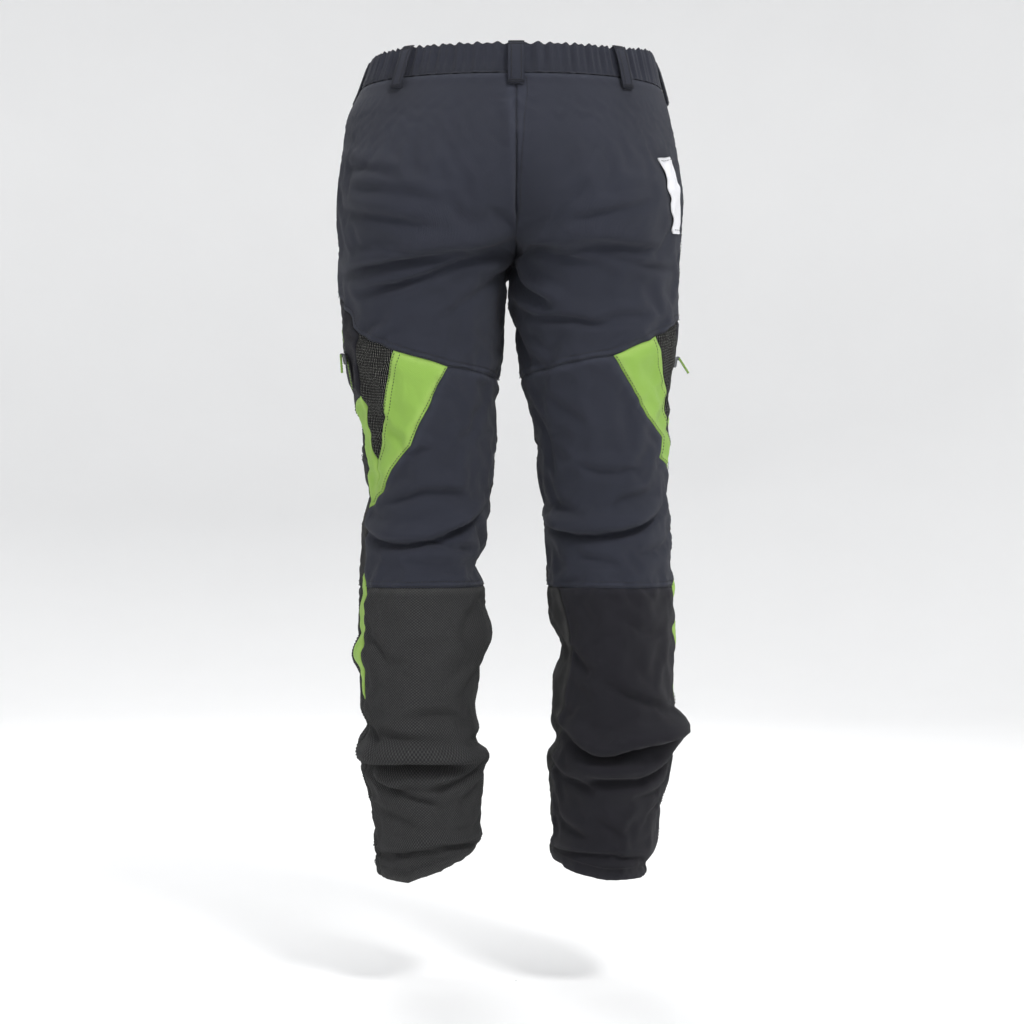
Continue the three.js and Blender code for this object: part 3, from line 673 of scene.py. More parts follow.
MATERIAL = {
    "charcoal": twill("charcoal_stretch_twill", [38, 40, 50], [62, 65, 78]),
    "black": twill("black_stretch_twill", [23, 22, 28], [40, 40, 48], 0.86),
    "textured": ripstop("textured_cut_cloth", [33, 33, 35], [106, 106, 104]),
    "lime": twill("lime_nylon", [137, 177, 74], [176, 207, 114], 0.72, 1.3, 0.00014, 0.1),
    # The vent knit's second colour is painted into its holes: partly a paler backing, partly painted
    # highlight.
    "mesh": knit("vent_knit", [11, 11, 12], [205, 205, 198]),
    "pad": woven("pad_fleece", [196, 190, 172], [228, 224, 210], 4.0, 0.95, 0.0006),
    "lining": woven("lining_mesh", [26, 27, 30], [70, 72, 76], 2.4),
    "elastic": woven("white_elastic", [206, 204, 198], [240, 238, 232], 1.8),
    "label": woven("label_satin", [214, 214, 218], [246, 246, 248], 0.9, 0.55, 0.00005),
    "tape": woven("black_tape", [16, 16, 18], [44, 44, 48], 1.4, 0.7),
    "metal": plain("cast_metal", [118, 120, 122], 0.38, 0.9),
    "pull": plain("lime_cord_pull", [150, 190, 84], 0.5),
}


def carry(ob, side, zone):
    """Make the piece follow its body; a piece across the hip or the knee is baked in place and follows no
    body.
    """
    name = NAMES.get(side)
    if zone == "hip":
        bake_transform(ob)
    elif zone == "knee":
        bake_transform(ob)
    elif zone in ("thigh", "shin"):
        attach(ob, name + "_" + zone)
    else:
        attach(ob, zone)


def build(name, points, faces, slot, side, zone, replaces=(), uv=None, wear=None, smooth_shade=True):
    """A new mesh object from points in millimetres, in its slot's material."""
    mesh = bpy.data.meshes.new(name)
    mesh.from_pydata((np.asarray(points) * MM).tolist(), [], [tuple(f) for f in faces])
    mesh.validate()
    if uv is not None:
        layer = mesh.uv_layers.new(name="cut")
        index = np.empty(len(mesh.loops), int)
        mesh.loops.foreach_get("vertex_index", index)
        layer.data.foreach_set("uv", (np.asarray(uv)[index] * MM).astype(np.float32).ravel())
    if wear is not None:
        attribute = mesh.attributes.new("wear", "FLOAT", "POINT")
        attribute.data.foreach_set("value", np.asarray(wear, np.float32))
    if smooth_shade:
        mesh.shade_smooth()
    mesh.materials.append(MATERIAL[slot])
    ob = bpy.data.objects.new(name, mesh)
    bpy.context.scene.collection.objects.link(ob)
    if replaces:
        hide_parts(*([replaces] if isinstance(replaces, str) else replaces))
    carry(ob, side, zone)
    return ob


def grid_solid(outer, inner, ring=False):
    """Points and faces of the closed solid between two grids of points, each (rows, columns, 3)."""
    rows, columns = outer.shape[:2]
    points = np.concatenate([outer.reshape(-1, 3), inner.reshape(-1, 3)])
    layer = rows * columns
    index = np.arange(layer).reshape(rows, columns)
    if ring:
        index = closed(index)
    faces = quads(index).tolist() + (quads(index)[:, [0, 3, 2, 1]] + layer).tolist()
    rims = [index[0][::-1], index[-1]]
    if not ring:
        rims += [index[:, 0], index[:, -1][::-1]]
    for rim in rims:
        faces += [(p, q, q + layer, p + layer) for p, q in zip(rim[1:].tolist(), rim[:-1].tolist())]
    return points, faces


def turned_out(points, faces):
    """The faces, all turned round if they enclose a negative volume."""
    p = np.asarray(points)
    whole = [f for f in faces if len(f) <= 4]
    tri = np.array([(f[0], f[1], f[2]) for f in whole] + [(f[0], f[2], f[3]) for f in whole if len(f) == 4])
    volume = np.einsum("ij,ij->i", p[tri[:, 0]], np.cross(p[tri[:, 1]], p[tri[:, 2]])).sum()
    return faces if volume >= 0 else [f[::-1] for f in faces]


def shell(name, outer, inner, slot, side, zone, replaces=(), ring=False):
    """A closed piece between two grids of points."""
    points, faces = grid_solid(outer, inner, ring)
    faces = turned_out(points, faces)
    rows, columns = outer.shape[:2]
    u = np.concatenate([np.zeros((rows, 1)), np.linalg.norm(np.diff(outer, axis=1), axis=-1).cumsum(1)], 1)
    v = outer[..., 2]
    uv = np.tile(np.stack([u, v], -1).reshape(-1, 2), (2, 1))
    return build(name, points, faces, slot, side, zone, replaces, uv, np.zeros(len(points)))


def area_of(grid):
    """Area of a grid of points, as two triangles for each cell."""
    total = 0
    for corner in (grid[:-1, :-1], grid[1:, 1:]):
        sides = np.cross(grid[:-1, 1:] - corner, grid[1:, :-1] - corner)
        total += np.linalg.norm(sides, axis=-1).sum()
    return total / 2


def declare(width, length, area=None):
    """Clamp a sheet's flat area, given in square millimetres, to between 0.3 and 1 times its width by length
    in millimetres; nothing is declared and the result is not kept.
    """
    most = width * length
    area = None if area is None else min(max(area, 0.3 * most), most) * MM * MM


# ------------------------------------------------------------------ seam lines, as [s, z]
FLY_EDGE = [[0.97, BAND_LOW], [0.97, -150], [0.988, -172], [1, -178]]
SEAMS = {
    LEFT: {
        "thigh_back": [[0, -345], [0.1, -340], [0.2, -334]],
        "flash_top": [[0.2, -334], [0.294, -318]],
        "mesh_top": [[0.294, -318], [0.39, -298]],
        "vent_top": [[0.39, -298], [0.42, -276], [0.5, -252]],
        "thigh_front": [[0.5, -252], [0.62, -282], [0.8, -318], [1, -345]],
        "flash_back": [[0.2, -334], [0.282, -415], [0.335, -441], [0.364, -464], [0.406, -478]],
        "flash_front": [[0.294, -318], [0.336, -377], [0.3786, -424], [0.384, -430]],
        "flash_low": [[0.384, -430], [0.384, -447], [0.42, -482]],
        "mesh_front": [[0.39, -298], [0.4, -346], [0.406, -362], [0.405, -416], [0.384, -430]],
        "flare_top": [[0.406, -362], [0.47, -366]],
        "flare_front": [[0.47, -366], [0.474, -396], [0.45, -430]],
        "flare_low": [[0.45, -430], [0.42, -482]],
        "knee_top": [[0.45, -430], [0.6, -407], [0.75, -398], [0.9, -407], [1, -430]],
        "side": [[0.42, -482], [0.43, -515], [0.431, -546]],
        "stripe_back": [[0.431, -546], [0.415, KNEE_SEAM], [0.412, -640], [0.431, -694]],
        "stripe_front": [[0.431, -546], [0.452, KNEE_SEAM], [0.454, -640], [0.431, -694]],
        "ankle": [[0.431, -694], [0.436, -881]],
        "hem_back": [[0, -845], [0.15, -862], [0.3, -882], [0.436, -881]],
        "hem_front": [[0.436, -881], [0.6, -872], [0.75, -860], [1, -845]],
        "calf_in": [[0, KNEE_SEAM], [0, -845]],
    },
    RIGHT: {
        "thigh_back": [[0, -343], [0.15, -335], [0.272, -323]],
        "flash_top": [[0.272, -323], [0.374, -301]],
        "mesh_top": [[0.374, -301], [0.47, -281]],
        "vent_top": [[0.47, -281], [0.5, -279]],
        "thigh_front": [[0.5, -279], [0.65, -290], [0.8, -318], [1, -343]],
        "flash_back": [[0.272, -323], [0.316, -357], [0.354, -386],
                       [0.405, -406], [0.404, -425], [0.49, -446]],
        "flash_front": [[0.374, -301], [0.399, -334], [0.441, -363], [0.445, -390], [0.488, -412]],
        "flash_low": [[0.488, -412], [0.49, -446]],
        "mesh_front": [[0.47, -281], [0.51, -346], [0.51, -362], [0.51, -378], [0.503, -400], [0.488, -412]],
        "flare_top": [[0.51, -362], [0.57, -366]],
        "flare_front": [[0.57, -366], [0.574, -396], [0.55, -430]],
        "flare_low": [[0.55, -430], [0.49, -446]],
        "knee_top": [[0.55, -430], [0.65, -407], [0.78, -398], [0.9, -407], [1, -430]],
        "side": [[0.49, -446], [0.496, -515], [0.497, -546]],
        "stripe_back": [[0.497, -546], [0.48, KNEE_SEAM], [0.478, -640], [0.495, -694]],
        "stripe_front": [[0.497, -546], [0.517, KNEE_SEAM], [0.519, -640], [0.495, -694]],
        "ankle": [[0.495, -694], [0.49, -879]],
        "hem_back": [[0, -862], [0.25, -879], [0.49, -879]],
        "hem_front": [[0.49, -879], [0.6, -870], [0.75, -860], [0.9, -858], [1, -862]],
        "calf_in": [[0.09, KNEE_SEAM], [0.12, -600], [0.12, -650], [0.09, -705], [0.05, -780], [0, -862]],
    },
}


def chain(*lines):
    """One outline from several lines that follow each other; a line given as (line,) runs backwards."""
    out = []
    for line in lines:
        points = list(reversed(line[0])) if isinstance(line, tuple) else list(line)
        for p in points:
            if not out or math.hypot((out[-1][0] - p[0]) * GIRTH, out[-1][1] - p[1]) > 0.05:
                out.append(p)
    if math.hypot((out[-1][0] - out[0][0]) * GIRTH, out[-1][1] - out[0][1]) < 0.05:
        out.pop()
    return out


def outlines(m, is_right):
    """Outline of every panel of one leg, with its material and the zone that it follows."""
    corner = [p for p in m["mesh_front"] if p[1] <= m["flare_top"][0][1]]
    high = lambda line: [p for p in line if p[1] >= KNEE_SEAM]
    low = lambda line: [p for p in line if p[1] <= KNEE_SEAM]
    stripe_back, stripe_front = m["stripe_back"], m["stripe_front"]
    mesh_upper = [p for p in m["mesh_front"] if p[1] >= m["flare_top"][0][1]]
    made = {
        "seat_panel": (chain([[0, BAND_LOW], [0.5, BAND_LOW]], [m["vent_top"][-1]], (m["vent_top"],),
                             (m["mesh_top"],), (m["flash_top"],), (m["thigh_back"],)), "charcoal", "hip"),
        "front_panel": (chain([[0.5, BAND_LOW]], FLY_EDGE, [m["thigh_front"][-1]], (m["thigh_front"],)),
                        "charcoal", "hip"),
        "back_knee_panel": (chain(m["thigh_back"], m["flash_back"], m["side"], high(stripe_back),
                                  [[0, KNEE_SEAM]]), "charcoal", "knee"),
        "thigh_flash": (chain(m["flash_top"], m["flash_front"], m["flash_low"], (m["flash_back"],)),
                        "lime", "knee"),
        "vent_mesh": (chain(m["mesh_top"], m["mesh_front"], (m["flash_front"],)), "mesh", "thigh"),
        "front_flash": (chain(m["flare_top"], m["flare_front"], m["flare_low"], (m["flash_low"],),
                              (corner,)), "lime", "knee"),
        "front_thigh_panel": (chain(m["vent_top"], m["thigh_front"], (m["knee_top"],), (m["flare_front"],),
                                    (m["flare_top"],), (mesh_upper,)), "black", "hip"),
        "knee_panel": (chain(m["knee_top"], [[1, KNEE_SEAM]], (high(stripe_front),), (m["side"],),
                             (m["flare_low"],)), "textured", "knee"),
        "shin_stripe": (chain(stripe_front, (stripe_back,)), "lime", "knee"),
        "calf_panel": (chain([m["calf_in"][0]], low(stripe_back), m["ankle"], (m["hem_back"],),
                             (m["calf_in"],)), "black" if is_right else "textured", "knee"),
        "shin_panel": (chain([[1, KNEE_SEAM]], (m["hem_front"],), (m["ankle"],), (low(stripe_front),)),
                       "textured", "knee"),
    }
    if is_right:
        made["inner_calf_panel"] = (chain([[0, KNEE_SEAM]], m["calf_in"]), "textured", "knee")
    return made


# ------------------------------------------------------------------ sewn panels
def segment_gap(points, ring):
    """Distance of each point to a closed ring of points, and whether it is inside."""
    a, b = ring, np.roll(ring, -1, 0)
    best = np.full(len(points), 1e9)
    inside = np.zeros(len(points), bool)
    for p, q in zip(a, b):
        d = q - p
        t = np.clip((points - p) @ d / max(d @ d, 1e-12), 0, 1)
        best = np.minimum(best, np.hypot(*(points - p - t[:, None] * d).T))
        if p[1] != q[1]:
            crosses = (p[1] > points[:, 1]) != (q[1] > points[:, 1])
            inside ^= crosses & (points[:, 0] < p[0] + (points[:, 1] - p[1]) / (q[1] - p[1]) * d[0])
    return best, inside


MARGINS = (1.3, 3.4, 7.0, 9.6)  # rows of points along each seam
SPACING = 4.6


def fill(outline):
    """Flat mesh of an outline of [s, z] points, in millimetres of cloth, and how far in each point is."""
    ring = dense(outline + outline[:1], 3.6)[:-1] * [GIRTH, 1]
    turn = np.sum(ring[:, 0] * np.roll(ring[:, 1], -1) - ring[:, 1] * np.roll(ring[:, 0], -1))
    ahead = np.roll(ring, -1, 0) - np.roll(ring, 1, 0)
    ahead /= np.maximum(np.linalg.norm(ahead, axis=1, keepdims=True), 1e-9)
    inward = np.stack([-ahead[:, 1], ahead[:, 0]], -1) * np.sign(turn)
    picked = []
    for margin in MARGINS:
        row = ring + inward * margin
        gap, inside = segment_gap(row, ring)
        picked.append(row[inside & (gap > 0.9 * margin)])
    low, high = ring.min(0), ring.max(0)
    x, y = np.meshgrid(np.arange(low[0], high[0], SPACING), np.arange(low[1], high[1], SPACING * 0.866))
    x = x + (np.arange(len(y))[:, None] % 2) * SPACING / 2
    hexed = np.stack([x.ravel(), y.ravel()], -1)
    gap, inside = segment_gap(hexed, ring)
    picked.append(hexed[inside & (gap > MARGINS[-1] + 2.2)])
    flat = np.concatenate([ring] + picked)
    count = len(ring)
    edges = [(i, (i + 1) % count) for i in range(count)]
    verts, _, faces, origins, _, _ = delaunay_2d_cdt(
        [Vector(p) for p in flat], edges, [list(range(count))], 1, 1e-4)
    flat = np.array([tuple(v) for v in verts])
    gap, _ = segment_gap(flat, ring)
    return flat, [tuple(f) for f in faces], gap


def panel(side, name, outline, slot, zone):
    """A sewn panel: cloth that dips into its seams, with a raised allowance next to them."""
    flat, faces, gap = fill(outline)
    s, z = flat[:, 0] / GIRTH, flat[:, 1]
    dip = -1.1 * np.exp(-((gap / 1.3) ** 2))
    ridge = 0.55 * smooth(0.8, 2.2, gap) * smooth(10.5, 7.5, gap)
    pucker = 0.35 * np.sin((s * GIRTH + z) * 0.42) * lattice(s * GIRTH, z, 12, 31) * smooth(26, 4, gap)
    swell = dip + ridge + pucker * smooth(0.5, 3, gap)
    outer = at(side, s, z, swell)
    inner = at(side, s, z, swell - CLOTH)
    count = len(flat)
    used = {}
    for f in faces:
        for a, b in zip(f, f[1:] + f[:1]):
            used[(a, b)] = used.get((a, b), 0) + 1
    border = [(a, b) for a, b in used if (b, a) not in used]
    points = np.concatenate([outer, inner])
    all_faces = [tuple(f) for f in faces] + [tuple(i + count for i in reversed(f)) for f in faces]
    all_faces += [(b, a, a + count, b + count) for a, b in border]
    all_faces = turned_out(points, all_faces)
    wear = np.tile(0.8 * smooth(9, 2, gap) * smooth(0.2, 1.4, gap), 2)
    uv = np.tile(flat, (2, 1))
    full = NAMES[side] + "_" + name
    ob = build(full + "_cloth", points, all_faces, slot, side, zone, full, uv, wear)
    plain_points = base(side, s, z)
    tri = np.array(faces)
    crossed = np.cross(plain_points[tri[:, 1]] - plain_points[tri[:, 0]],
                       plain_points[tri[:, 2]] - plain_points[tri[:, 0]])
    area = np.linalg.norm(crossed, axis=1).sum() / 2
    length = flat[:, 1].max() - flat[:, 1].min()
    width = max(area / length * 1.02, flat[:, 0].max() - flat[:, 0].min())
    declare(width, length * 1.04, area * 1.03)
    return ob


# ------------------------------------------------------------------ stitching
STITCH = {"long": 2.6, "pitch": 3.4, "half": 0.38, "proud": 0.25}


def stitch_points(positions, directions, ups):
    """Points and faces of one small spindle of thread at each place."""
    across = np.cross(directions, ups)
    half, long = STITCH["half"], STITCH["long"] / 2
    corners = [(-1, 0, 0), (-0.55, 1, 0), (-0.55, 0, 1), (-0.55, -1, 0), (-0.55, 0, -1),
               (0.55, 1, 0), (0.55, 0, 1), (0.55, -1, 0), (0.55, 0, -1), (1, 0, 0)]
    points = np.concatenate([
        (positions[:, None] + directions[:, None] * (a * long) + across[:, None] * (b * half)
         + ups[:, None] * (c * half)) for a, b, c in corners], 1)
    pattern = [(0, 1, 2), (0, 2, 3), (0, 3, 4), (0, 4, 1), (1, 5, 6, 2), (2, 6, 7, 3), (3, 7, 8, 4),
               (4, 8, 5, 1), (9, 6, 5), (9, 7, 6), (9, 8, 7), (9, 5, 8)]
    faces = [tuple(i + k * len(corners) for i in f) for k in range(len(positions)) for f in pattern]
    return points.reshape(-1, 3), faces


def thread(name, groups, body, side=None, slot="tape"):
    """One piece from groups of stitches, each given as their middles, directions and ups."""
    points, faces = stitch_points(*(np.concatenate([group[k] for group in groups]) for k in range(3)))
    build(name, points, faces, slot, side, body)


def row_of(line, out, lift=0.0):
    """A group of stitches between each two points of a line, standing out from their cloth."""
    along = np.diff(line, axis=0)
    middle = (line[1:] + line[:-1]) / 2 + np.asarray(out) * lift
    return middle, along / np.linalg.norm(along, axis=1, keepdims=True), np.tile(out, (len(along), 1))


def shifted(line, away):
    """The line moved away millimetres to its left in the flat cloth."""
    p = dense(line, 3.0) * [GIRTH, 1]
    d = np.gradient(p, axis=0)
    d /= np.maximum(np.linalg.norm(d, axis=1, keepdims=True), 1e-9)
    q = p + np.stack([-d[:, 1], d[:, 0]], -1) * away
    return q / [GIRTH, 1]


def thread_places(place, line):
    """Even places along a line of [s, z] on a surface place(s, z, offset), with their directions."""
    fine = dense(line, 1.0)
    world = place(fine[:, 0], fine[:, 1], 0.0)
    reach = np.concatenate([[0], np.cumsum(np.linalg.norm(np.diff(world, axis=0), axis=1))])
    stops = np.arange(STITCH["pitch"], reach[-1] - STITCH["pitch"] / 2, STITCH["pitch"])
    s = np.interp(stops, reach, fine[:, 0])
    z = np.interp(stops, reach, fine[:, 1])
    middle = place(s, z, STITCH["proud"] + 0.5)
    up = place(s, z, 2.0) - place(s, z, 0.0)
    up /= np.linalg.norm(up, axis=1, keepdims=True)
    step = np.interp(stops + 0.5, reach, np.arange(len(reach)))
    ahead = np.stack([np.interp(step, np.arange(len(reach)), world[:, k]) for k in range(3)], -1)
    back = np.stack([np.interp(stops - 0.5, reach, world[:, k]) for k in range(3)], -1)
    direction = ahead - back
    direction /= np.maximum(np.linalg.norm(direction, axis=1, keepdims=True), 1e-9)
    return middle, direction, up


def stitching(name, side, zone, rows):
    """Rows of stitches that follow lines of [s, z] on either half's cloth, as one piece."""
    groups = [thread_places(lambda s, z, o, half=half: at(half, s, z, o), line) for half, line in rows]
    thread(name, groups, zone, side)


def clear(line):
    """The line, kept off the centre seam and the inseam."""
    return [[min(max(p[0], 0.012), 0.988), p[1]] for p in line]


# ------------------------------------------------------------------ waistband
def band_grid(a0, a1, z0, z1, offset, step=1.9, rows=13, ruche=1.0):
    """Grid of a waist layer. a runs from -1 (right half's front) over 0 (centre back) to 1."""
    count = int(abs(a1 - a0) * 510 / step) + 2
    a, z = np.meshgrid(np.linspace(a0, a1, count), np.linspace(z0, z1, rows))
    s = np.abs(a)
    gather = smooth(0.5, 0.3, s) * ruche
    u = a * 510
    wave = np.sin(u * 0.62 + 2.2 * lattice(u + 900, z * 0.25 + 90, 30, 5))
    wave = wave + 0.7 * np.sin(u * 0.37 + 1.7 * lattice(u + 900, z * 0.3 + 90, 44, 8) + 1.3)
    middle = 1 - 0.55 * np.abs((z - BAND_LOW / 2) / (BAND_LOW / 2)) ** 2
    height = offset + gather * 1.15 * wave * middle
    scallop = gather * 0.9 * wave * smooth(-14, 0, z)
    rise = 6.0 * smooth(0.22, 0.42, -a) * smooth(0.72, 0.5, -a) * smooth(-30, 0, z)
    grid = all_round(a, z, height)
    grid[..., 2] += scallop + rise
    return grid


def rounded(outer, inner):
    """Bend the first and last rows of both faces towards each other, as a folded edge."""
    for end, near in ((0, 1), (-1, -2)):
        middle = (outer[end] + inner[end]) / 2
        outer[end] = middle + (outer[end] - middle) * 0.35
        inner[end] = middle + (inner[end] - middle) * 0.35
        outer[near] = outer[near] * 0.75 + outer[end] * 0.25
    return outer, inner


def band_piece(name, a0, a1, z0, z1, high, low, slot, ruche=1.0, rows=13):
    outer = band_grid(a0, a1, z0, z1, high, rows=rows, ruche=ruche)
    inner = band_grid(a0, a1, z0, z1, low, rows=rows, ruche=ruche)
    ob = shell(name + "_cloth", *rounded(outer, inner), slot, None, "hips", name)
    width = np.linalg.norm(np.diff(outer[rows // 2], axis=0), axis=1).sum()
    declare(width, abs(z1 - z0), None)


BAND = {"side": 0.5, "seam": 0.002, "end": 0.985, "elastic_end": 0.44}
band_piece("waistband_back", BAND["seam"] - BAND["side"], BAND["side"] - BAND["seam"], BAND_LOW, 0, 0.9, -1.4,
           "charcoal")
band_piece("waistband_front_left", BAND["side"] + BAND["seam"], BAND["end"], BAND_LOW, 0, 0.4, -1.6,
           "charcoal", 0.0)
band_piece("waistband_front_right", -BAND["end"], -BAND["side"] - BAND["seam"], BAND_LOW, 0, 0.4, -1.6,
           "charcoal", 0.0)
band_piece("waistband_elastic", -BAND["elastic_end"], BAND["elastic_end"], BAND_LOW + 3, -3, -3.2, -4.4,
           "elastic", 0.8)
band_piece("waistband_lining", -BAND["end"], BAND["end"], BAND_LOW, -1, -6.0, -7.2, "lining", 0.7)


def lining(name, outer, inner, side, zone, node, ring):
    ob = shell(name, outer, inner, "lining", side, zone, node, ring)
    width = np.linalg.norm(np.diff(outer[len(outer) // 2], axis=0), axis=1).sum() * (1.0 + 0.05 * ring)
    length = np.linalg.norm(np.diff(outer[:, 0], axis=0), axis=1).sum()
    area = area_of(np.concatenate([outer, outer[:, :1]], 1) if ring else outer)
    declare(max(width, area / length), length, None)


def hip_lining():
    a, z = np.meshgrid(np.linspace(-0.955, 0.955, 180), np.linspace(-150, -40, 23))
    ripple = 0.6 * lattice(np.abs(a) * GIRTH, z, 14, 12)
    faces = [all_round(a, z, depth + ripple) for depth in (-9.0, -10.0)]
    lining("hip_lining_cloth", *faces, None, "hips", "hip_lining", False)


hip_lining()

# ------------------------------------------------------------------ belt loops
LOOPS = {
    "centre_back": (LEFT, 0.0, 17), "back_left": (LEFT, 0.235, 13.5), "back_right": (RIGHT, 0.24, 13.5),
    "side_left": (LEFT, 0.52, 14), "side_right": (RIGHT, 0.51, 14),
    "front_left": (LEFT, 0.78, 14), "front_right": (RIGHT, 0.78, 14),
}
LOOP = {"top": 1.5, "long": 47.0, "thick": 1.9, "bow": 6.0, "foot": 1.4}


def belt_loop(name, side, s, width):
    """A folded strap sewn down at both ends, with a bar-tack at each end."""
    b, a = patch(25, 11, -1)
    z = LOOP["top"] - LOOP["long"] * (1 - b)
    root = at(side, s, np.minimum(z, 0), 0.0)
    run = at(side, s + 0.01, -16, 0) - at(side, max(s - 0.01, 0), -16, 0)
    run = np.array([1.0, 0, 0]) if s == 0 else run / np.linalg.norm(run)
    out = np.array([0, 1.0, 0]) if s == 0 else at(side, s, -16, 1) - at(side, s, -16, 0)
    lie = 0.35 if name.startswith("side") else 1.0
    bow = LOOP["bow"] * lie * np.sin(np.pi * np.clip(b, 0, 1)) ** 0.45
    crown = 0.5 * (1 - a**2) + 0.55 * np.exp(-(((np.abs(a) - 0.72) / 0.12) ** 2)) - 0.9 * np.abs(a) ** 12
    middle = root + out * (LOOP["foot"] + bow)[..., None] + run * (a * width / 2)[..., None]
    top = middle + out * (LOOP["thick"] + crown)[..., None]
    low = middle - out * (0.2 * (1 - np.abs(a) ** 12))[..., None]
    top[..., 2] = z
    low[..., 2] = z
    shell("belt_loop_" + name + "_strap", top, low, "charcoal", None, "hips", "belt_loop_" + name)
    rows = [row_of(top[end], out, 0.15) for end in (1, 2, 22, 23)]
    rows += [row_of(top[3:22, column], out, 0.1) for column in (2, 8)]
    thread("belt_loop_" + name + "_bartacks", rows, "hips")


for loop, (side, s, width) in LOOPS.items():
    belt_loop(loop, side, s, width)

# ------------------------------------------------------------------ panels and their stitching
# Rows of stitches beside each seam, in millimetres to the seam's left.
LEG_ROWS = {"flash_back": (1.7,), "flash_front": (-1.7, -6.4), "stripe_front": (1.6,), "flare_front": (1.7,)}


def upright(s, low):
    """A row of stitches straight down from the waistband."""
    return [[s, BAND_LOW - 3], [s, low]]


for side in (LEFT, RIGHT):
    name = NAMES[side]
    m = SEAMS[side]
    for part, (outline, slot, zone) in outlines(m, side == RIGHT).items():
        panel(side, part, outline, slot, zone)
    seat_low = chain(m["thigh_back"], m["flash_top"], m["mesh_top"], m["vent_top"])
    hip_rows = [(side, clear(shifted(seat_low, away))) for away in (1.6, 6.6)]
    hip_rows += [(side, clear(shifted(m["thigh_front"], away))) for away in (1.6, 6.6)]
    hip_rows += [(side, upright(0.5 + away / GIRTH, -246)) for away in (1.8, 6.8)]
    if side == RIGHT:
        hip_rows.append((side, upright(0.004 + 4.5 / GIRTH, -205)))
    hip_rows += [(side, [[0.52, -48], [0.60, -66], [0.66, -118]])]
    hip_rows += [(side, [[0.53, -46], [0.61, -64], [0.67, -118]])]
    stitching(name + "_seat_stitching", side, "hip", hip_rows)
    knee_line = [[0.0, KNEE_SEAM], [m["stripe_back"][1][0], KNEE_SEAM]]
    front_line = [[m["stripe_front"][1][0], KNEE_SEAM], [1.0, KNEE_SEAM]]
    knee_rows = [clear(shifted(line, away)) for line in (knee_line, front_line) for away in (1.8, 6.2)]
    for seam, rows in LEG_ROWS.items():
        knee_rows += [shifted(m[seam], away) for away in rows]
    knee_rows += [clear(shifted(m["knee_top"], away)) for away in (-1.7, -6.4)]
    knee_rows += [shifted(m["ankle"], away) for away in (1.7, 6.2)]
    knee_rows += [clear(shifted(m[hem], 13)) for hem in ("hem_back", "hem_front")]
    stitching(name + "_leg_stitching", side, "knee", [(side, row) for row in knee_rows])

band_rows = []
for level in (-3.0, -29.0):
    for side in (LEFT, RIGHT):
        band_rows.append((side, [[0.505, level], [BAND["end"] - 0.01, level]]))
stitching("waistband_stitching", None, "hips", band_rows)


# ------------------------------------------------------------------ linings, pads and pocket bags
GUARD = {"s": (0.47, 0.97), "thigh": (-408, -272), "shin": (-800, -578)}
TUBE = {"thigh": (-420, -262), "shin": (-838, -582)}


def quilted(side, s_range, z_range, name, node, zone):
    """A protective pad: two faces crowned between rows of stitching."""
    s, z = np.meshgrid(np.linspace(*s_range, 76), np.linspace(*z_range, int((z_range[1] - z_range[0]) / 3.2)))
    along = (z - z_range[0]) / (z_range[1] - z_range[0])
    across = (s - s_range[0]) / (s_range[1] - s_range[0])
    rim = np.minimum(np.minimum(along, 1 - along) * (z_range[1] - z_range[0]),
                     np.minimum(across, 1 - across) * 220) / 6
    full = np.clip(rim, 0, 1) ** 0.5
    channels = np.abs(np.sin(across * np.pi * 7)) ** 0.5 * 0.8 + 0.2
    half = 0.6 + 2.7 * full * channels
    middle = -8.5
    ob = shell(name, at(side, s, z, middle + half), at(side, s, z, middle - half), "pad", side, zone, node)


for side in (LEFT, RIGHT):
    name = NAMES[side]
    for zone, follows in (("thigh", "hip"), ("shin", "knee")):
        quilted(side, GUARD["s"], GUARD[zone], f"{name}_{zone}_pad_quilt", f"{name}_{zone}_pad", follows)
        count = 110
        s, z = np.meshgrid(np.arange(count) / count, np.linspace(*TUBE[zone], 45))
        ripple = 0.7 * lattice(s * GIRTH, z, 16, 20 + side) * np.sin(np.pi * s)
        tubes = [at(side, s, z, depth + ripple) for depth in (-15.5, -16.5)]
        lining(f"{name}_{zone}_lining_cloth", *tubes, side, follows, f"{name}_{zone}_lining", True)
    s, z = np.meshgrid(np.linspace(0.62, 0.84, 40), np.linspace(-168, -52, 40))
    round_off = smooth(0, 0.12, np.minimum((s - 0.62) / 0.22, 1 - (s - 0.62) / 0.22)) * smooth(-168, -156, z)
    puff = 0.5 * lattice(s * GIRTH, z, 18, 40) * round_off
    thin = 0.8 * (1 - round_off)
    bag = shell(name + "_pocket_bag_cloth", at(side, s, z, -4.4 + puff - thin),
                at(side, s, z, -7.0 + puff + thin), "lining", side, "hips", name + "_pocket_bag")
    declare(102, 117, None)

# ------------------------------------------------------------------ hip label
LABEL = {"top": -118.0, "low": -194.0, "rise": 4.0, "s_top": 0.312, "s_low": 0.388, "wide": 0.055}


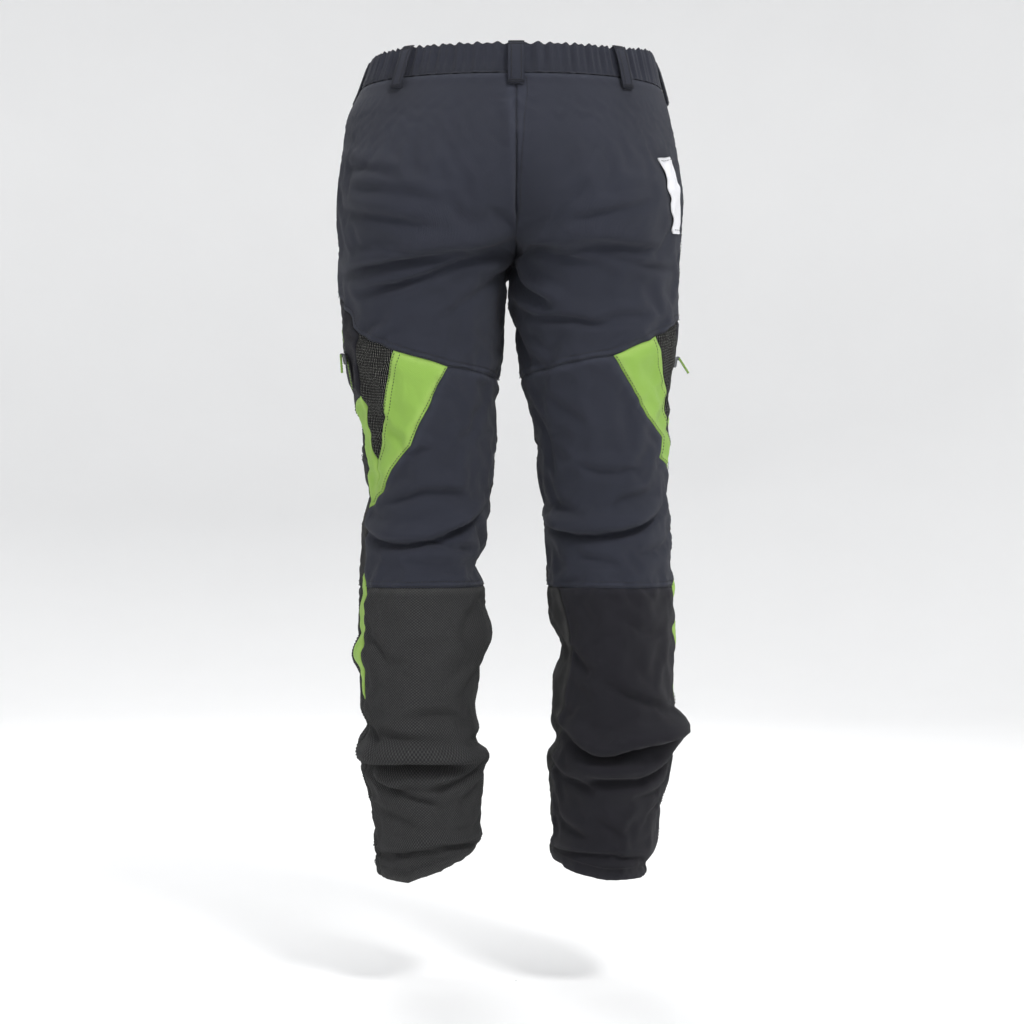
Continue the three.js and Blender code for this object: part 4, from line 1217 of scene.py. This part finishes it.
def hip_label():
    """A blank woven label with folded, stitched ends and slightly lifted edges."""
    b, a = patch(40, 14)
    z = LABEL["top"] + (LABEL["low"] - LABEL["top"]) * b + LABEL["rise"] * a
    s = LABEL["s_top"] + (LABEL["s_low"] - LABEL["s_top"]) * b + LABEL["wide"] * a
    edge = 1 - 4 * a * (1 - a)
    lift = 1.0 + 0.9 * edge**3 * np.abs(np.sin(b * 9.0)) + 0.35 * lattice(a * 24 + 40, b * 80, 9, 61)
    ends = 0.5 * (smooth(0.08, 0.05, b) + smooth(0.92, 0.95, b))
    faces = at(RIGHT, s, z, lift + ends + 0.5), at(RIGHT, s, z, lift)
    ob = shell("hip_label_cloth", *faces, "label", None, "hips", "hip_label")
    declare(24, 84, None)
    rows = []
    for b0 in (0.045, 0.955):
        line = [[LABEL["s_top"] + (LABEL["s_low"] - LABEL["s_top"]) * b0 + LABEL["wide"] * t,
                 LABEL["top"] + (LABEL["low"] - LABEL["top"]) * b0 + LABEL["rise"] * t] for t in (0.06, 0.94)]
        rows.append(line)
    place = lambda s, z, o: at(RIGHT, s, z, o + 2.2)
    thread("hip_label_stitching", [thread_places(place, line) for line in rows], "hips")


hip_label()


# ------------------------------------------------------------------ small hardware
def box_centre(node):
    """Middle of a frame node's box, in millimetres."""
    low, high = (np.array(corner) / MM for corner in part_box(node))
    return (low + high) / 2


def rounded_block(centre, axes, sizes, name, slot, zone, replaces, power=4.0, parts=20):
    """A block with soft edges (a superellipsoid) along three given axes."""
    theta = np.linspace(-np.pi / 2, np.pi / 2, parts)
    phi = np.arange(parts * 2) / (parts * 2) * 2 * np.pi
    phi, theta = np.meshgrid(phi, theta)
    curve = lambda v: np.sign(v) * np.abs(v) ** (2 / power)
    local = [curve(np.cos(theta)) * curve(np.cos(phi)), curve(np.cos(theta)) * curve(np.sin(phi)),
             curve(np.sin(theta))]
    points = sum(axis * (c[..., None] * size / 2) for axis, c, size in zip(axes, local, sizes)) + centre
    rows, columns = theta.shape
    ring = points[1:-1].reshape(-1, 3)
    all_points = np.concatenate([ring, points[:1, 0], points[-1:, 0]])
    index = closed(np.arange(len(ring)).reshape(rows - 2, columns))
    faces = quads(index).tolist()
    bottom, top = len(ring), len(ring) + 1
    faces += [(bottom, index[0, i + 1], index[0, i]) for i in range(columns)]
    faces += [(top, index[-1, i], index[-1, i + 1]) for i in range(columns)]
    return build(name, all_points, turned_out(all_points, faces), slot, None, zone, replaces)


def tape_and_teeth(name, line_top, line_low, out, width, zone, side, node, teeth="tape"):
    """Zip tape as two woven edges with a row of teeth down the middle."""
    top, low = np.asarray(line_top, float), np.asarray(line_low, float)
    up = (top - low) / np.linalg.norm(top - low)
    across = np.cross(out, up)
    across /= np.linalg.norm(across)
    face = np.cross(up, across)
    length = np.linalg.norm(top - low)
    b, a = patch(30, 17, -1)
    swell = 0.45 * np.exp(-(((np.abs(a) - 0.16) / 0.1) ** 2)) - 0.25 * np.exp(-((a / 0.05) ** 2))
    swell = swell + 0.12 * np.cos(b * length * 2.2)
    middle = low + up * (b * length)[..., None] + across * (a * width / 2)[..., None]
    outer, inner = middle + face * (0.6 + swell)[..., None], middle - face * 0.5
    ob = shell(name + "_tape_cloth", outer, inner, "tape", side, zone, node)
    declare(width, length, None)
    points, faces = [], []
    count = int(length / 1.6)
    for k in range(count):
        here = low + up * ((k + 0.5) * length / count) + face * 1.0 + across * (0.55 if k % 2 else -0.55)
        corners = [here + across * x * 1.25 + up * z * 0.45 + face * y * 0.5
                   for x in (-1, 1) for y in (-1, 1) for z in (-1, 1)]
        first = len(points)
        points += corners
        faces += [tuple(first + i for i in f) for f in
                  ((0, 1, 3, 2), (4, 6, 7, 5), (0, 4, 5, 1), (2, 3, 7, 6), (0, 2, 6, 4), (1, 5, 7, 3))]
    build(name + "_teeth", points, faces, teeth, side, zone, smooth_shade=False)
    return up, across, face


PULL = {"long": 20, "half": 3}


def zip_pull(name, root, down, across, out, thick, slot, body, node):
    """A cord pull: a tapered tab with a round end and ribs, hanging from the slider."""
    b, a = patch(30, 15, -1)
    tip = np.sqrt(np.clip(1 - np.clip((b - 0.9) / 0.1, 0, 1) ** 2, 0.02, 1))
    waist = PULL["half"] * (0.55 + 0.45 * smooth(0.1, 0.45, b)) * tip
    ribs = 0.22 * np.sin(b * 42) * smooth(0.35, 0.5, b) * smooth(0.95, 0.85, b)
    half_thick = thick / 2 * (0.5 + 0.5 * (1 - np.abs(a) ** 3)) + ribs * (1 - a**2)
    middle = root + down * (b * PULL["long"])[..., None] + across * (a * waist)[..., None]
    rise = out * half_thick[..., None]
    shell(name, middle + rise, middle - rise, slot, None, body, node)


def frame_place(side, s, z, offset):
    """Point near a side seam of the frame's own surface, which has neither folds nor lean."""
    run = base(side, s + 0.002, z, 0) - base(side, s - 0.002, z, 0)
    fall = base(side, s, z - 1, 0) - base(side, s, z + 1, 0)
    n = np.cross(run, fall)
    n *= np.sign(n[0] * side) / np.linalg.norm(n)
    return base(side, s, z, 0) + n * offset


def bail(name, slide_at, across, face, up, body):
    """The slider's small arch, which the pull hangs from."""
    place = slide_at + face * 2.7 + up * 4.4
    rounded_block(place, (across, face, up), (2.6, 3.4, 4.4), name, "metal", body, ())


VENTS = {LEFT: (0.462, 0.432), RIGHT: (0.52, 0.53)}
VENT = {"top": -290, "low": -354, "width": 13, "lift": 2.4, "drop": 32}
for side in (LEFT, RIGHT):
    name = NAMES[side]
    s_top, s_low = VENTS[side]
    # The tape lies on the folded cloth, but runs the way the frame's slider travels.
    ends = [(s_top, VENT["top"], VENT["lift"]), (s_low, VENT["low"], VENT["lift"])]
    middle = sum(at(side, *end) for end in ends) / 2
    half = (frame_place(side, *ends[0]) - frame_place(side, *ends[1])) / 2
    out = frame_place(side, s_top, VENT["top"], 1) - frame_place(side, s_top, VENT["top"], 0)
    top, low = middle + half, middle - half
    up, across, face = tape_and_teeth(name + "_vent_zip", top, low, out, VENT["width"], "thigh", side,
                                      name + "_vent_zip_tape", "pull")
    slide_at = top - up * VENT["drop"] + face * 3.4
    rounded_block(slide_at, (across, face, up), (8, 4.2, 12), name + "_vent_zip_slider_body", "metal",
                  name + "_vent_slider", name + "_vent_zip_slider")
    bail(name + "_vent_zip_slider_bail", slide_at, across, face, up, name + "_vent_slider")
    tilt = 0.1 if side == LEFT else 0.7
    down = -up * math.cos(tilt) + face * math.sin(tilt)
    lift = face * math.cos(tilt) + up * math.sin(tilt)
    zip_pull(name + "_vent_zip_pull_tab", slide_at + up * 5 + face * 3.6, down, across, lift, 2.4, "pull",
             name + "_vent_pull", name + "_vent_zip_pull")


def front_y(x, z):
    x, z = np.broadcast_arrays(np.asarray(x, float), np.asarray(z, float))
    reach = np.abs(np.abs(x) - section(z, 1)) / section(z, 2)
    return section(z, 3) - section(z, 5) * (1 - reach**ROUNDNESS) ** (1 / ROUNDNESS)


FLY = {"top": -42, "low": -166, "width": 22, "depth": 19, "drop": 10}
fly_top = np.array([0, front_y(0, FLY["top"]) + FLY["depth"], FLY["top"]])
fly_low = np.array([0, front_y(0, FLY["low"]) + FLY["depth"], FLY["low"]])
up, across, face = tape_and_teeth("fly_zip", fly_top, fly_low, FRONT, FLY["width"], "hips", None,
                                  "fly_zip_tape")
slide_at = fly_top - up * FLY["drop"] + face * 3.6
rounded_block(slide_at, (across, face, up), (8, 4.2, 12), "fly_zip_slider_body", "metal", "fly_slider",
              "fly_zip_slider")
bail("fly_zip_slider_bail", slide_at, across, face, up, "fly_slider")
zip_pull("fly_zip_pull_tab", slide_at + up * 5 + face * 3.4, -up, across, face, 1.8, "metal",
         "fly_pull", "fly_zip_pull")


def placket():
    """The fly's outer flap, with a curved row of stitching."""
    b, a = patch(60, 20)
    x = -21 + 42 * a
    z = -177 + 145.5 * b
    wave = 0.5 * lattice(x + 60, z + 400, 16, 71)
    edge = smooth(0, 0.08, np.minimum(a, 1 - a))
    y = front_y(x, z) - 1.2
    outer = np.stack([x, y - 1.4 - wave * edge - 0.5 * edge, z], -1)
    inner = np.stack([x, y - 0.2 - wave * edge, z], -1)
    ob = shell("fly_placket_cloth", outer, inner, "charcoal", None, "hips", "fly_placket")
    declare(43, 148, None)
    t = np.linspace(0, 1, 60)
    curve = np.stack([12 - 22 * np.clip((t - 0.72) / 0.28, 0, 1) ** 2, np.zeros(60), -40 - 128 * t], -1)
    rows = []
    for shift in (0, 4.5):
        line = curve + [shift, 0, 0]
        line[:, 1] = front_y(line[:, 0], line[:, 2]) - 3.5
        rows.append([part[::2] for part in row_of(line, FRONT)])
    thread("fly_placket_stitching", rows, "hips")


placket()

TAB = {"root": 50, "end": -26, "low": -30, "high": -3, "y": -113.3, "thick": 2}


def waist_tab():
    """The waistband's pointed tab, with stitching round its edge."""
    b, a = np.meshgrid(np.linspace(-1, 1, 22), np.linspace(0, 1, 50), indexing="ij")
    tip = smooth(0.12, 0.0, a)
    x = TAB["end"] + (TAB["root"] - TAB["end"]) * a
    z = (TAB["low"] + TAB["high"]) / 2 + (TAB["high"] - TAB["low"]) / 2 * b * (1 - 0.35 * tip)
    edge = 1 - np.maximum(np.abs(b) ** 10, np.abs(2 * a - 1) ** 40)
    half = TAB["thick"] / 2 * (0.45 + 0.55 * edge)
    outer = np.stack([x, TAB["y"] - half, z], -1)
    inner = np.stack([x, TAB["y"] + half, z], -1)
    ob = shell("waist_tab_cloth", outer, inner, "charcoal", None, "waist_tab", "waist_tab")
    declare(76, 27, None)
    rows = []
    for level in (-10.2, 10.2):
        xs = np.arange(-20, 48, STITCH["pitch"])
        middle = np.stack([xs, np.full(len(xs), TAB["y"] - 1.1), np.full(len(xs), -16.5 + level)], -1)
        rows.append((middle, np.tile([1.0, 0, 0], (len(xs), 1)), np.tile(FRONT, (len(xs), 1))))
    thread("waist_tab_stitching", rows, "waist_tab")


waist_tab()


def turned(name, profile, slot, body, node, parts=40):
    """A round part from (radius, height) points, standing out of the front at its frame node's place."""
    angle = np.arange(parts) / parts * 2 * np.pi
    rings = [np.stack([r * np.cos(angle), np.full(parts, -h), r * np.sin(angle)], -1) for r, h in profile]
    points = np.concatenate(rings) + box_centre(node)
    index = closed(np.arange(len(points)).reshape(len(profile), parts))
    faces = quads(index).tolist() + [tuple(index[0, :-1][::-1].tolist()), tuple(index[-1, :-1].tolist())]
    build(name, points, turned_out(points, faces), slot, None, body, node)


CAP = [(6.6, -1.0), (7.4, -0.7), (7.5, -0.2), (7.1, 0.5), (5.6, 0.95), (5.0, 0.7), (4.4, 0.75), (2.5, 0.95),
       (0.3, 1.0)]
STUD = [(3.0, -1.2), (3.0, -0.8), (2.3, -0.4), (2.3, 0.4), (2.9, 0.7), (2.7, 1.1), (0.3, 1.2)]
turned("snap_cap_dome", CAP, "metal", "waist_tab", "snap_cap")
turned("snap_stud_post", STUD, "metal", "hips", "snap_stud")


# ------------------------------------------------------------------ studio
FLOOR = -1.0


def studio():
    """A pale floor that curves up into a wall all round, three soft lights and the camera."""
    profile = [(0.001, 0), (3.2, 0)]
    profile += [(3.2 + 1.6 * math.sin(t), 1.6 * (1 - math.cos(t))) for t in np.linspace(0.1, math.pi / 2, 12)]
    profile += [(4.8, 3.8)]
    parts = 72
    angle = np.arange(parts) / parts * 2 * np.pi
    points = np.concatenate([np.stack([r * np.cos(angle), r * np.sin(angle), np.full(parts, FLOOR + h)], -1)
                             for r, h in profile])
    index = closed(np.arange(len(points)).reshape(len(profile), parts))
    mesh = bpy.data.meshes.new("floor")
    mesh.from_pydata(points.tolist(), [], quads(index).tolist())
    mesh.shade_smooth()
    g = Graph("pale_floor")
    g.feed(g.shader.inputs["Base Color"], g.blend(g.noise(3.0), linear([236] * 3), linear([240] * 3)))
    g.shader.inputs["Roughness"].default_value = 0.9
    g.shader.inputs["Emission Color"].default_value = (1, 1, 1, 1)
    g.shader.inputs["Emission Strength"].default_value = 0.07
    mesh.materials.append(g.material)
    floor = bpy.data.objects.new("floor", mesh)
    bpy.context.scene.collection.objects.link(floor)
    world = bpy.data.worlds.new("studio")
    world.use_nodes = True
    world.node_tree.nodes["Background"].inputs[0].default_value = (0.95, 0.97, 1.0, 1)
    world.node_tree.nodes["Background"].inputs[1].default_value = 0.35
    bpy.context.scene.world = world
    lights = [
        ("key", (-1.2, 2.1, 2.1), 0.9, 78),
        ("fill", (2.8, 2.0, 0.3), 1.8, 10),
        ("front", (0.6, -2.8, 1.6), 1.8, 45),
        ("top", (0, -0.3, 2.6), 2.0, 40),
    ]
    for name, place, size, power in lights:
        data = bpy.data.lights.new(name, "AREA")
        data.shape = "DISK"
        data.size = size
        data.energy = power
        light = bpy.data.objects.new(name, data)
        light.location = place
        light.rotation_euler = (Vector((0, 0, -0.45)) - Vector(place)).to_track_quat("-Z", "Y").to_euler()
        bpy.context.scene.collection.objects.link(light)
    data = bpy.data.cameras.new("camera")
    data.lens = 79
    data.sensor_width = 36
    camera = bpy.data.objects.new("camera", data)
    camera.location = (0.0044, 2.45, -0.489)
    camera.rotation_euler = (math.pi / 2, 0, math.pi)
    bpy.context.scene.collection.objects.link(camera)
    bpy.context.scene.camera = camera
    bpy.context.scene.view_settings.view_transform = "Standard"


studio()
